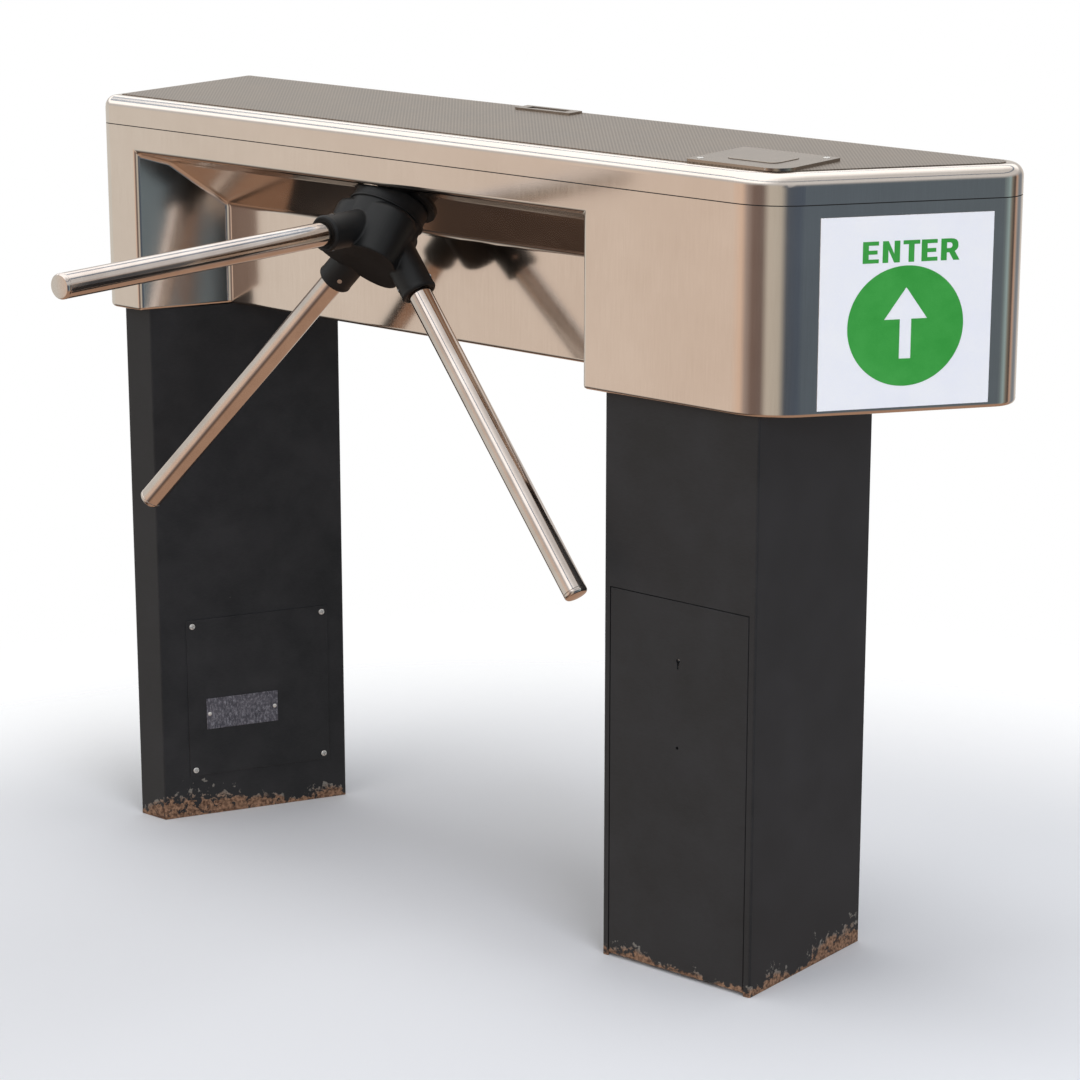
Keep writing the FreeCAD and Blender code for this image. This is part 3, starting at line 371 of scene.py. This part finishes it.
def sharp(bm, angle, longer=0.0):
    """The edges that bend by more than an angle in degrees and are longer than a length."""
    return [edge for edge in bm.edges
            if len(edge.link_faces) == 2 and edge.calc_length() > longer
            and edge.calc_face_angle(0) > math.radians(angle)]


def solid(bm):
    """The mesh as a scratch object."""
    mesh = bpy.data.meshes.new("scratch")
    bm.to_mesh(mesh)
    bm.free()
    holder = bpy.data.objects.new("scratch", mesh)
    bpy.context.scene.collection.objects.link(holder)
    return holder


def baked(holder):
    """A scratch object's mesh with its modifiers applied; the object is removed."""
    shown = holder.evaluated_get(bpy.context.evaluated_depsgraph_get())
    mesh = bpy.data.meshes.new_from_object(shown)
    bm = bmesh.new()
    bm.from_mesh(mesh)
    bpy.data.objects.remove(holder)
    bpy.data.meshes.remove(mesh)
    return bm


def carve(bm, cutter):
    """Cut one mesh out of another; the cutter's own parts may cross."""
    bmesh.ops.recalc_face_normals(bm, faces=bm.faces)
    bmesh.ops.recalc_face_normals(cutter, faces=cutter.faces)
    base, tool = solid(bm), solid(cutter)
    rule = base.modifiers.new("Carve", "BOOLEAN")
    rule.operation, rule.solver, rule.object = "DIFFERENCE", "EXACT", tool
    rule.use_self = True
    bm = baked(base)
    bpy.data.objects.remove(tool)
    return bm


def cast(bm, grain, passes):
    """Run overlapping solids together into one casting and round its corners."""
    bmesh.ops.recalc_face_normals(bm, faces=bm.faces)
    base = solid(bm)
    joined = base.modifiers.new("Join", "REMESH")
    joined.mode, joined.voxel_size = "VOXEL", grain
    eased = base.modifiers.new("Ease", "SMOOTH")
    eased.iterations, eased.factor = passes, 0.5
    return baked(base)


def piece(name, bm, coat, body, slot, *stands_for, crease=30, fresh=True):
    """Turn a mesh into a finished piece that rides on a body and stands for CAD nodes."""
    if fresh:
        bmesh.ops.recalc_face_normals(bm, faces=bm.faces)
    mesh = bpy.data.meshes.new(name)
    bm.to_mesh(mesh)
    bm.free()
    mesh.materials.append(coat)
    mesh.shade_smooth()
    mesh.set_sharp_from_angle(angle=math.radians(crease))
    made = bpy.data.objects.new(name, mesh)
    bpy.context.scene.collection.objects.link(made)
    made.modifiers.new("Even normals", "WEIGHTED_NORMAL").keep_sharp = True
    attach(made, body)
    if stands_for:
        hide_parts(*stands_for)


def wall_frame(node, angle, thick):
    """The lower left inner corner of a plate on a slanted wall: X runs back along the wall,
    Y into it and Z up."""
    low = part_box(node)[0]
    sine, cosine = math.sin(angle), math.cos(angle)
    turn = Matrix(((sine, -cosine, 0), (cosine, sine, 0), (0, 0, 1))).to_4x4()
    return Matrix.Translation((low.x, low.y + thick * sine, low.z)) @ turn


# ---------------------------------------------------------------- cabinet shell
FOLD_RADIUS, FOLD_SEGMENTS = 5.5 * MM, 6
SHELL_LOW, SHELL_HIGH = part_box("housing_shell")
# A wall lower than a sheet edge is only the cut edge of the sheet. Folds shorter or nearer to
# the foot, the top or the front than this stay sharp.
SHEET_EDGE, SHORT_FOLD, ON_PLANE = 20 * MM, 20 * MM, 0.01 * MM
FOOT_CLEAR, TOP_CLEAR, FRONT_CLEAR, MOUTH_CLEAR = 5 * MM, 20 * MM, 10 * MM, 10 * MM


def face_height(face):
    """How far a wall reaches up and down; a level face counts as a tall one."""
    heights = [vert.co.z for vert in face.verts]
    return max(heights) - min(heights) if abs(face.normal.z) < 0.99 else 1


def shell_edges(bm):
    """The shell's outside corners: its foot, the mouth of the arm recess and the folds in it."""
    chosen = []
    for edge in sharp(bm, 12):
        ends = [vert.co for vert in edge.verts]
        middle = (ends[0] + ends[1]) / 2
        tall = min(face_height(face) for face in edge.link_faces)
        foot = all(abs(end.z - SHELL_LOW.z) < ON_PLANE for end in ends) and tall > SHEET_EDGE
        mouth = (all(abs(end.y - SHELL_LOW.y) < ON_PLANE for end in ends)
                 and middle.z < SHELL_HIGH.z - MOUTH_CLEAR)
        fold = (not edge.is_convex and edge.calc_length() > SHORT_FOLD
                and SHELL_LOW.z + FOOT_CLEAR < middle.z < SHELL_HIGH.z - TOP_CLEAR
                and max(end.y for end in ends) > SHELL_LOW.y + FRONT_CLEAR)
        if foot or mouth or fold:
            chosen.append(edge)
    return chosen


shell = from_cad("housing_shell")
soften(shell, shell_edges(shell), FOLD_RADIUS, FOLD_SEGMENTS, clamp=False)
piece("cabinet_shell", shell, sheet_steel, "frame", "brushed_stainless", "housing_shell",
      fresh=False)

# ---------------------------------------------------------------- service door and access panel
# Square corners of the plates, and the long outer edges of the door and the access panel.
SQUARE, LONG_EDGE = 60, 150 * MM
door = from_cad("service_door")
soften(door, sharp(door, SQUARE, LONG_EDGE), 0.7 * MM, 2)
piece("door_panel", door, paint, "door", "black_paint", "service_door", fresh=False)

# How far the left post's slanted side and the cabinet's slanted end turn from straight across.
LEFT_SLANT, END_SLANT = math.radians(27.9), math.radians(37.1)
panel = from_cad("access_panel")
soften(panel, sharp(panel, SQUARE, LONG_EDGE), 0.6 * MM, 2)
piece("access_cover", panel, paint, "frame", "black_paint", "access_panel", fresh=False)


# The cross recess in a screw: half its span and half its width against the head's radius, and
# how far it is turned.
CROSS_SPAN, CROSS_WIDTH, CROSS_TURN = 0.66, 0.16, 20


def cross_screws(places, radius, height, shank, depth):
    """Pan-head screws with a cross recess; each place has its head's seat at the origin."""
    heads, crosses = bmesh.new(), bmesh.new()
    for place in places:
        pan_head = [(0, height), (radius * 0.5, height * 0.96), (radius * 0.85, height * 0.72),
                    (radius, height * 0.3), (radius, 0), (shank, 0), (shank, -depth), (0, -depth)]
        turned(heads, pan_head, place, 32)
        for spin in (0, 90):
            slot_place = place @ Matrix.Rotation(math.radians(spin + CROSS_TURN), 4, "Z")
            cube(crosses, (-radius * CROSS_SPAN, -radius * CROSS_WIDTH, -height * 0.1),
                 (radius * CROSS_SPAN, radius * CROSS_WIDTH, height * 1.5), slot_place)
    return carve(heads, crosses)


def out_of_wall(wall, x, z, proud):
    """A place on a slanted wall whose Z points out of it."""
    return wall @ Matrix.Translation((x, -proud, z)) @ Matrix.Rotation(math.radians(90), 4, "X")


ACCESS_THICK, ACCESS_INSET = 1.5 * MM, 8.5 * MM
ACCESS_WIDE, ACCESS_HIGH = 204 * MM, 224 * MM
HEAD_RADIUS, SHANK_RADIUS = 4 * MM, 2.1 * MM
access_wall = wall_frame("access_panel", LEFT_SLANT, ACCESS_THICK)
access_places = [out_of_wall(access_wall, x, z, ACCESS_THICK)
                 for x in (ACCESS_INSET, ACCESS_WIDE - ACCESS_INSET)
                 for z in (ACCESS_INSET, ACCESS_HIGH - ACCESS_INSET)]
access_screws = cross_screws(access_places, HEAD_RADIUS, 1.6 * MM, SHANK_RADIUS, 2 * MM)
piece("access_cover_screws", access_screws, bright_zinc, "frame", "zinc_steel",
      "access_panel_screws")

NAME_THICK, NAME_WIDE, NAME_HIGH, RIVET_INSET = 1 * MM, 103 * MM, 44 * MM, 4.5 * MM
plate = from_cad("nameplate")
soften(plate, sharp(plate, SQUARE, 30 * MM), 0.3 * MM, 2)
piece("rating_plate", plate, etched, "frame", "worn_nameplate", "nameplate", fresh=False)
name_wall = wall_frame("nameplate", LEFT_SLANT, NAME_THICK)
# A domed rivet head on its shank.
RIVET = [(0, 1.1 * MM), (1.2 * MM, 1.0 * MM), (2.2 * MM, 0.6 * MM), (2.8 * MM, 0), (1.5 * MM, 0),
         (1.5 * MM, -1.2 * MM), (0, -1.2 * MM)]
rivets = bmesh.new()
for x in (RIVET_INSET, NAME_WIDE - RIVET_INSET):
    turned(rivets, RIVET, out_of_wall(name_wall, x, NAME_HIGH / 2, NAME_THICK), 24)
piece("rating_plate_rivets", rivets, bright_zinc, "frame", "zinc_steel", "nameplate_rivets")

# ---------------------------------------------------------------- entry sign
sign = from_cad("entry_sign")
soften(sign, sharp(sign, SQUARE), 0.35 * MM, 2)
piece("sign_panel", sign, enamel, "frame", "white_sign", "entry_sign", fresh=False)

# Plain block letters in units of their height, and the word with each letter's place along it.
LETTERS = {
    "E": [[(0, 0), (.77, 0), (.77, .18), (.28, .18), (.28, .41), (.70, .41), (.70, .59),
           (.28, .59), (.28, .82), (.76, .82), (.76, 1), (0, 1)]],
    "N": [[(0, 0), (.27, 0), (.27, .60), (.56, 0), (.83, 0), (.83, 1), (.56, 1), (.56, .40),
           (.27, 1), (0, 1)]],
    "T": [[(.26, 0), (.53, 0), (.53, .82), (.80, .82), (.80, 1), (0, 1), (0, .82), (.26, .82)]],
    "R": [[(0, 0), (.28, 0), (.28, .36), (.40, .36), (.60, 0), (.90, 0), (.66, .41), (.76, .48),
           (.82, .58), (.83, .70), (.81, .83), (.74, .93), (.63, .98), (.50, 1), (0, 1)],
          [(.28, .55), (.44, .55), (.52, .59), (.55, .68), (.52, .78), (.44, .82), (.28, .82)]],
}
WORD = [("E", 0), ("N", 23.8 * MM), ("T", 48.5 * MM), ("E", 70.5 * MM), ("R", 94 * MM)]
SIGN_THICK, LETTER_THICK, CAP_HEIGHT = 1 * MM, 0.3 * MM, 25 * MM
WORD_LEFT, WORD_LOW = 50.5 * MM, 169 * MM


def raised_word(place):
    """The word cut from flat film, reading along X with its letters' tops towards Y."""
    outline = bpy.data.curves.new("word", "CURVE")
    outline.dimensions, outline.fill_mode, outline.extrude = "2D", "BOTH", LETTER_THICK / 2
    for letter, left in WORD:
        for loop in LETTERS[letter]:
            spline = outline.splines.new("POLY")
            spline.points.add(len(loop) - 1)
            for point, (x, y) in zip(spline.points, loop):
                point.co = (left + x * CAP_HEIGHT, y * CAP_HEIGHT, 0, 1)
            spline.use_cyclic_u = True
    holder = bpy.data.objects.new("word", outline)
    bpy.context.scene.collection.objects.link(holder)
    bm = baked(holder)
    bmesh.ops.remove_doubles(bm, verts=bm.verts, dist=SPUN_POINT)
    bmesh.ops.transform(bm, matrix=place, verts=bm.verts)
    return bm


sign_wall = wall_frame("entry_sign", END_SLANT, SIGN_THICK)
word_place = out_of_wall(sign_wall, WORD_LEFT, WORD_LOW, SIGN_THICK + LETTER_THICK / 2)
piece("sign_word", raised_word(word_place), vinyl, "frame", "green_vinyl")

# ---------------------------------------------------------------- rotor
spin_joint = next(joint for joint in frame["joints"] if joint["name"] == "rotor_spin")
lean_axis = Vector(spin_joint["axis"]).normalized()
down_slope = lean_axis.cross(Vector((1, 0, 0)))
rotor = Matrix((Vector((1, 0, 0)), down_slope, lean_axis)).transposed().to_4x4()
rotor.translation = Vector(spin_joint["pos_m"])
# Each arm stands at this angle to the leaning axis, so that the foremost one is level.
ARM_ANGLE = math.radians(50)
thirds = [Matrix.Rotation(math.radians(120 * index), 4, "Z") for index in range(3)]
arm_frames = [rotor @ third @ Matrix.Rotation(math.pi - ARM_ANGLE, 4, "X") for third in thirds]

HUB_FLAT, HUB_CORNER, HUB_NOSE, HUB_TOP = 46 * MM, 35 * MM, 60 * MM, 8 * MM
SHOULDER_RADIUS, NOSE_RADIUS = 9 * MM, 1.6 * MM
NECK_RADIUS, NECK_LOW, NECK_TOP, NECK_CHAMFER = 47.5 * MM, -10 * MM, 33.4 * MM, 2 * MM
SOCKET_RADIUS, SOCKET_START, SOCKET_REACH = 22 * MM, 10 * MM, 108 * MM
ARM_RADIUS, ARM_REACH, ARM_CAP, BORE_START = 15 * MM, 545 * MM, 6 * MM, 46 * MM
CASTING_GRAIN, CASTING_PASSES = 1.25 * MM, 3


def hub_block(bm):
    """The three-cornered body between the arms, rounded at its corners and shoulders."""
    corner = Vector((0, 2 * HUB_FLAT, -HUB_NOSE))
    tips = [bm.verts.new(third @ corner) for third in thirds]
    bm.faces.new(tips)
    # At a 60 degree corner the rounding starts this much further back than its radius.
    bmesh.ops.bevel(bm, geom=tips, offset=HUB_CORNER * math.sqrt(3), offset_type="OFFSET",
                    segments=16, profile=0.5, affect="VERTICES", clamp_overlap=True, material=-1)
    raised = bmesh.ops.extrude_face_region(bm, geom=bm.faces[:])["geom"]
    top = [item for item in raised if isinstance(item, bmesh.types.BMVert)]
    bmesh.ops.translate(bm, verts=top, vec=(0, 0, HUB_NOSE + HUB_TOP))
    bmesh.ops.recalc_face_normals(bm, faces=bm.faces)
    for height, radius, segments in ((HUB_TOP, SHOULDER_RADIUS, 5), (-HUB_NOSE, NOSE_RADIUS, 3)):
        rim = [edge for edge in bm.edges
               if all(abs(vert.co.z - height) < SAME_POINT for vert in edge.verts)]
        soften(bm, rim, radius, segments)


hub = bmesh.new()
hub_block(hub)
turned(hub, [(0, NECK_LOW), (NECK_RADIUS, NECK_LOW), (NECK_RADIUS, NECK_TOP - NECK_CHAMFER),
             (NECK_RADIUS - NECK_CHAMFER, NECK_TOP), (0, NECK_TOP)], steps=96)
bmesh.ops.transform(hub, matrix=rotor, verts=hub.verts)
# A socket with a raised bead near its mouth, and the mouth countersunk.
SOCKET = [(0, SOCKET_START), (SOCKET_RADIUS, SOCKET_START),
          (SOCKET_RADIUS, SOCKET_REACH - 6 * MM),
          (SOCKET_RADIUS + 0.6 * MM, SOCKET_REACH - 4.5 * MM),
          (SOCKET_RADIUS + 0.6 * MM, SOCKET_REACH - 2.5 * MM),
          (SOCKET_RADIUS - 1.2 * MM, SOCKET_REACH), (18.5 * MM, SOCKET_REACH),
          (17 * MM, SOCKET_REACH - 2.5 * MM), (0, SOCKET_REACH - 2.5 * MM)]
for place in arm_frames:
    turned(hub, SOCKET, place, 64)
hub = cast(hub, CASTING_GRAIN, CASTING_PASSES)
# The turned rim round the neck is too fine for the casting's grain, so it is spun on after.
RIM = [(46.8 * MM, 9.6 * MM), (49.1 * MM, 9.8 * MM), (49.6 * MM, 10.6 * MM),
       (49.6 * MM, 12.4 * MM), (49.1 * MM, 13.2 * MM), (46.8 * MM, 13.4 * MM)]
ring = bmesh.new()
turned(ring, RIM, rotor, 128)
bmesh.ops.recalc_face_normals(ring, faces=ring.faces)
rim = bpy.data.meshes.new("rim")
ring.to_mesh(rim)
ring.free()
hub.from_mesh(rim)
bpy.data.meshes.remove(rim)
piece("hub_casting", hub, nylon, "rotor", "black_casting", "hub_body", "hub_cap", crease=60,
      fresh=False)

SHROUD_LOW, SHROUD_TOP, SHROUD_BORE, SHROUD_RADIUS = 33.9 * MM, 37.9 * MM, 30 * MM, 56 * MM
shroud = bmesh.new()
turned(shroud, [(SHROUD_BORE, SHROUD_LOW), (SHROUD_RADIUS - 1.2 * MM, SHROUD_LOW),
                (SHROUD_RADIUS - 0.3 * MM, SHROUD_LOW + 0.4 * MM),
                (SHROUD_RADIUS, SHROUD_LOW + 1.2 * MM),
                (SHROUD_RADIUS, SHROUD_TOP), (SHROUD_BORE, SHROUD_TOP)], rotor, 128)
piece("neck_shroud", shroud, nylon, "frame", "black_casting", "hub_shroud")

TUBE_END = ARM_REACH - ARM_CAP
# A tube with its end broken, and a plug with a rounded rim that meets it.
TUBE = [(0, BORE_START), (ARM_RADIUS, BORE_START), (ARM_RADIUS, TUBE_END - 0.6 * MM),
        (ARM_RADIUS - 0.3 * MM, TUBE_END - 0.1 * MM), (0, TUBE_END - 0.1 * MM)]
PLUG = [(0, TUBE_END), (ARM_RADIUS - 0.3 * MM, TUBE_END), (ARM_RADIUS, TUBE_END + 0.4 * MM),
        (ARM_RADIUS, ARM_REACH - 3.6 * MM), (ARM_RADIUS - 0.5 * MM, ARM_REACH - 1.9 * MM),
        (ARM_RADIUS - 1.7 * MM, ARM_REACH - 0.6 * MM),
        (ARM_RADIUS - 3.6 * MM, ARM_REACH - 0.1 * MM), (0, ARM_REACH)]
for index, place in enumerate(arm_frames, start=1):
    arm, plug = bmesh.new(), bmesh.new()
    turned(arm, TUBE, place, 64)
    piece(f"arm_{index}", arm, tube_steel, "rotor", "polished_stainless", f"arm_tube_{index}")
    turned(plug, PLUG, place, 64)
    piece(f"arm_plug_{index}", plug, tube_steel, "rotor", "polished_stainless",
          f"arm_end_cap_{index}")

# ---------------------------------------------------------------- card reader on the lid
READER_SCREW_INSET = 12 * MM
reader = from_cad("reader_plate")
soften(reader, sharp(reader, SQUARE, 4 * MM), 0.8 * MM)
piece("card_reader_plate", reader, plate_steel, "lid", "machined_stainless", "reader_plate",
      fresh=False)
pad = from_cad("reader_pad")
soften(pad, sharp(pad, SQUARE), 0.6 * MM)
piece("card_reader_pad", pad, plate_steel, "lid", "machined_stainless", "reader_pad", fresh=False)
reader_low, reader_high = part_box("reader_plate")
reader_places = [
    Matrix.Translation((corner.x + inset, corner.y + inset, reader_high.z))
    for corner, inset in ((reader_low, READER_SCREW_INSET), (reader_high, -READER_SCREW_INSET))]
reader_screws = cross_screws(reader_places, HEAD_RADIUS, 1.4 * MM, SHANK_RADIUS, 3 * MM)
piece("card_reader_screws", reader_screws, bright_zinc, "lid", "zinc_steel", "reader_screws")

# ---------------------------------------------------------------- stage, light and camera
FLOOR_MIDDLE, FLOOR_SOLID, FLOOR_END = (1.0, -0.5, 0), 1.0, 2.05
FLOOR_DROP, FADE_MARGIN = 0.5 * MM, 0.05
floor_mesh = bmesh.new()
bmesh.ops.create_circle(
    floor_mesh, cap_ends=True, segments=96, radius=FLOOR_END,
    matrix=Matrix.Translation(FLOOR_MIDDLE) @ Matrix.Translation((0, 0, -FLOOR_DROP)))
mesh = bpy.data.meshes.new("floor")
floor_mesh.to_mesh(mesh)
floor_mesh.free()
floor = bpy.data.objects.new("floor", mesh)
bpy.context.scene.collection.objects.link(floor)
# Pale seamless paper that fades out into the white studio, and is left out of reflections so
# that the steel reflects only the room.
paper = bpy.data.materials.new("pale_paper_floor")
paper.use_nodes = True
tree = paper.node_tree
shader = tree.nodes["Principled BSDF"]
shader.inputs["Base Color"].default_value = linear("eceef2")
shader.inputs["Roughness"].default_value = 0.9
shader.inputs["Specular IOR Level"].default_value = 0.1
place = add(tree, "TexCoord").outputs["Object"]
away = add(tree, "VectorMath", {0: place, 1: FLOOR_MIDDLE}, operation="DISTANCE").outputs["Value"]
fade = add(tree, "MapRange", {0: away, 1: FLOOR_SOLID, 2: FLOOR_END - FADE_MARGIN},
           interpolation_type="SMOOTHSTEP").outputs[0]
mirrored = add(tree, "LightPath").outputs["Is Glossy Ray"]
fade = add(tree, "Math", {0: fade, 1: mirrored}, operation="MAXIMUM").outputs[0]
clear = add(tree, "BsdfTransparent").outputs[0]
ending = add(tree, "MixShader", {0: fade, 1: shader.outputs[0], 2: clear})
tree.links.new(ending.outputs[0], tree.nodes["Material Output"].inputs[0])
mesh.materials.append(paper)

world = bpy.data.worlds.new("studio")
bpy.context.scene.world = world
world.use_nodes = True
sky = world.node_tree
direction = add(sky, "TexCoord").outputs["Generated"]
x, y, z = add(sky, "SeparateXYZ", {0: direction}).outputs
# The room's walls by bearing, in degrees to the right of straight out of the cabinet's long
# side: a warm wall in front, a dark and a bright upright strip beside it, a slate-blue drape on
# the right, and beyond the drape a pale, a dark and a tan strip before the grey far wall.
WALLS = [(-180, "e6dfd8"), (-52, "e8e8e2"), (-40, "eedfd2"), (-30, "f0dac9"), (-21, "f3d6c0"),
         (-13, "b3a39b"), (-3, "85726a"), (11, "80706a"), (20, "d6cfc3"), (37, "cdc7bb"),
         (46, "5b6470"), (64, "586474"), (84, "77858c"), (100, "a6c0c4"), (112, "8b8378"),
         (124, "544e4c"), (134, "d9b7a2"), (143, "a9a7a6"), (152, "87919c"), (168, "a3a9b0"),
         (180, "e6dfd8")]
ahead = add(sky, "Math", {0: y, 1: -1.0}, operation="MULTIPLY").outputs[0]
bearing = add(sky, "Math", {0: x, 1: ahead}, operation="ARCTAN2").outputs[0]
around = add(sky, "MapRange", {0: bearing, 1: -math.pi, 2: math.pi}).outputs[0]
painted = add(sky, "ValToRGB", {0: around})
stops = painted.color_ramp.elements
stops.remove(stops[1])
stops[0].position, stops[0].color = 0, linear(WALLS[0][1])
for degrees, colour in WALLS[1:]:
    stops.new((degrees + 180) / 360).color = linear(colour)
walls = painted.outputs[0]

# Heights in the room are those of a direction of length 1. The ceiling is a bright white
# diffuser crossed by one blue-grey beam and weaker on the right, and the ground outside is tan,
# with a dark corner on the left.
CEILING_LOW, CEILING_HIGH = 0.30, 0.42
BEAM_HEIGHT, BEAM_HALF = 0.66, 0.035
COVE_LOW, COVE_HIGH = 0.06, 0.30
GROUND_LOW, GROUND_HIGH = -0.68, -0.40
lit = add(sky, "MapRange", {0: z, 1: CEILING_LOW, 2: CEILING_HIGH}).outputs[0]
ceiling = add(sky, "Mix", {0: lit, 6: linear("d6d6d6"), 7: linear("ffffff")},
              data_type="RGBA").outputs[2]
beam = add(sky, "Math", {0: z, 1: BEAM_HEIGHT, 2: BEAM_HALF}, operation="COMPARE").outputs[0]
ceiling = add(sky, "Mix", {0: beam, 6: ceiling, 7: linear("8f9cab")}, data_type="RGBA").outputs[2]
cove = add(sky, "MapRange", {0: z, 1: COVE_LOW, 2: COVE_HIGH}).outputs[0]
above = add(sky, "Mix", {0: cove, 6: walls, 7: ceiling}, data_type="RGBA").outputs[2]
across = add(sky, "Math", {0: x, 1: y}, operation="ADD").outputs[0]
open_ground = add(sky, "MapRange", {0: across, 1: -0.9, 2: -0.5}).outputs[0]
below = add(sky, "Mix", {0: open_ground, 6: linear("50423a"), 7: linear("b8967f")},
            data_type="RGBA").outputs[2]
raised = add(sky, "MapRange", {0: z, 1: GROUND_LOW, 2: GROUND_HIGH}).outputs[0]
room = add(sky, "Mix", {0: raised, 6: below, 7: above}, data_type="RGBA").outputs[2]
backdrop = sky.nodes["Background"]
sky.links.new(room, backdrop.inputs[0])

# Reflections see the room at full strength and the ceiling stronger on the left; as a light the
# room is held back, so that the key softbox throws the floor shadows.
WALL_STRENGTH, LEFT_GLARE, RIGHT_GLARE, ROOM_LIGHT = 0.95, 1.6, 0.75, 0.5
glare = add(sky, "MapRange", {0: x, 1: 0.05, 2: 0.45, 3: LEFT_GLARE, 4: RIGHT_GLARE}).outputs[0]
overhead = add(sky, "MapRange", {0: z, 1: 0.30, 2: 0.46}).outputs[0]
mirrored = add(sky, "Mix", {0: overhead, 2: WALL_STRENGTH, 3: glare}).outputs[0]
path = add(sky, "LightPath").outputs
strength = add(sky, "Mix", {0: path["Is Diffuse Ray"], 2: mirrored, 3: ROOM_LIGHT}).outputs[0]
sky.links.new(strength, backdrop.inputs[1])
white = add(sky, "Background", {0: linear("ffffff"), 1: 1.0})
seen = add(sky, "MixShader", {
    0: path["Is Camera Ray"], 1: backdrop.outputs[0], 2: white.outputs[0]})
sky.links.new(seen.outputs[0], sky.nodes["World Output"].inputs[0])


def softbox(name, place, target, size, power, colour="ffffff"):
    """A square lamp that faces its target and is not seen in reflections."""
    lamp = bpy.data.lights.new(name, "AREA")
    lamp.size, lamp.energy, lamp.color = size, power, linear(colour)[:3]
    holder = bpy.data.objects.new(name, lamp)
    holder.location = place
    holder.rotation_euler = (Vector(target) - Vector(place)).to_track_quat("-Z", "Y").to_euler()
    holder.visible_glossy = False
    bpy.context.scene.collection.objects.link(holder)


softbox("key_softbox", (0.75, -0.1, 3.4), (0.55, 0, 0), 1.1, 30)
softbox("fill_softbox", (0.2, -3.4, 1.8), (0.4, 0, 0.6), 2.0, 14, "fff4ea")
softbox("side_softbox", (3.6, -1.6, 1.7), (1.1, 0, 0.7), 1.8, 46, "f2f5ff")

camera = bpy.data.objects.new("camera", bpy.data.cameras.new("camera"))
camera.location = (3.13674, -3.15619, 1.58336)
camera.rotation_euler = (math.radians(74.723), 0, math.radians(38.992))
camera.data.lens = 110.64
camera.data.sensor_width = 36
bpy.context.scene.collection.objects.link(camera)
bpy.context.scene.camera = camera
bpy.context.scene.view_settings.view_transform = "Standard"
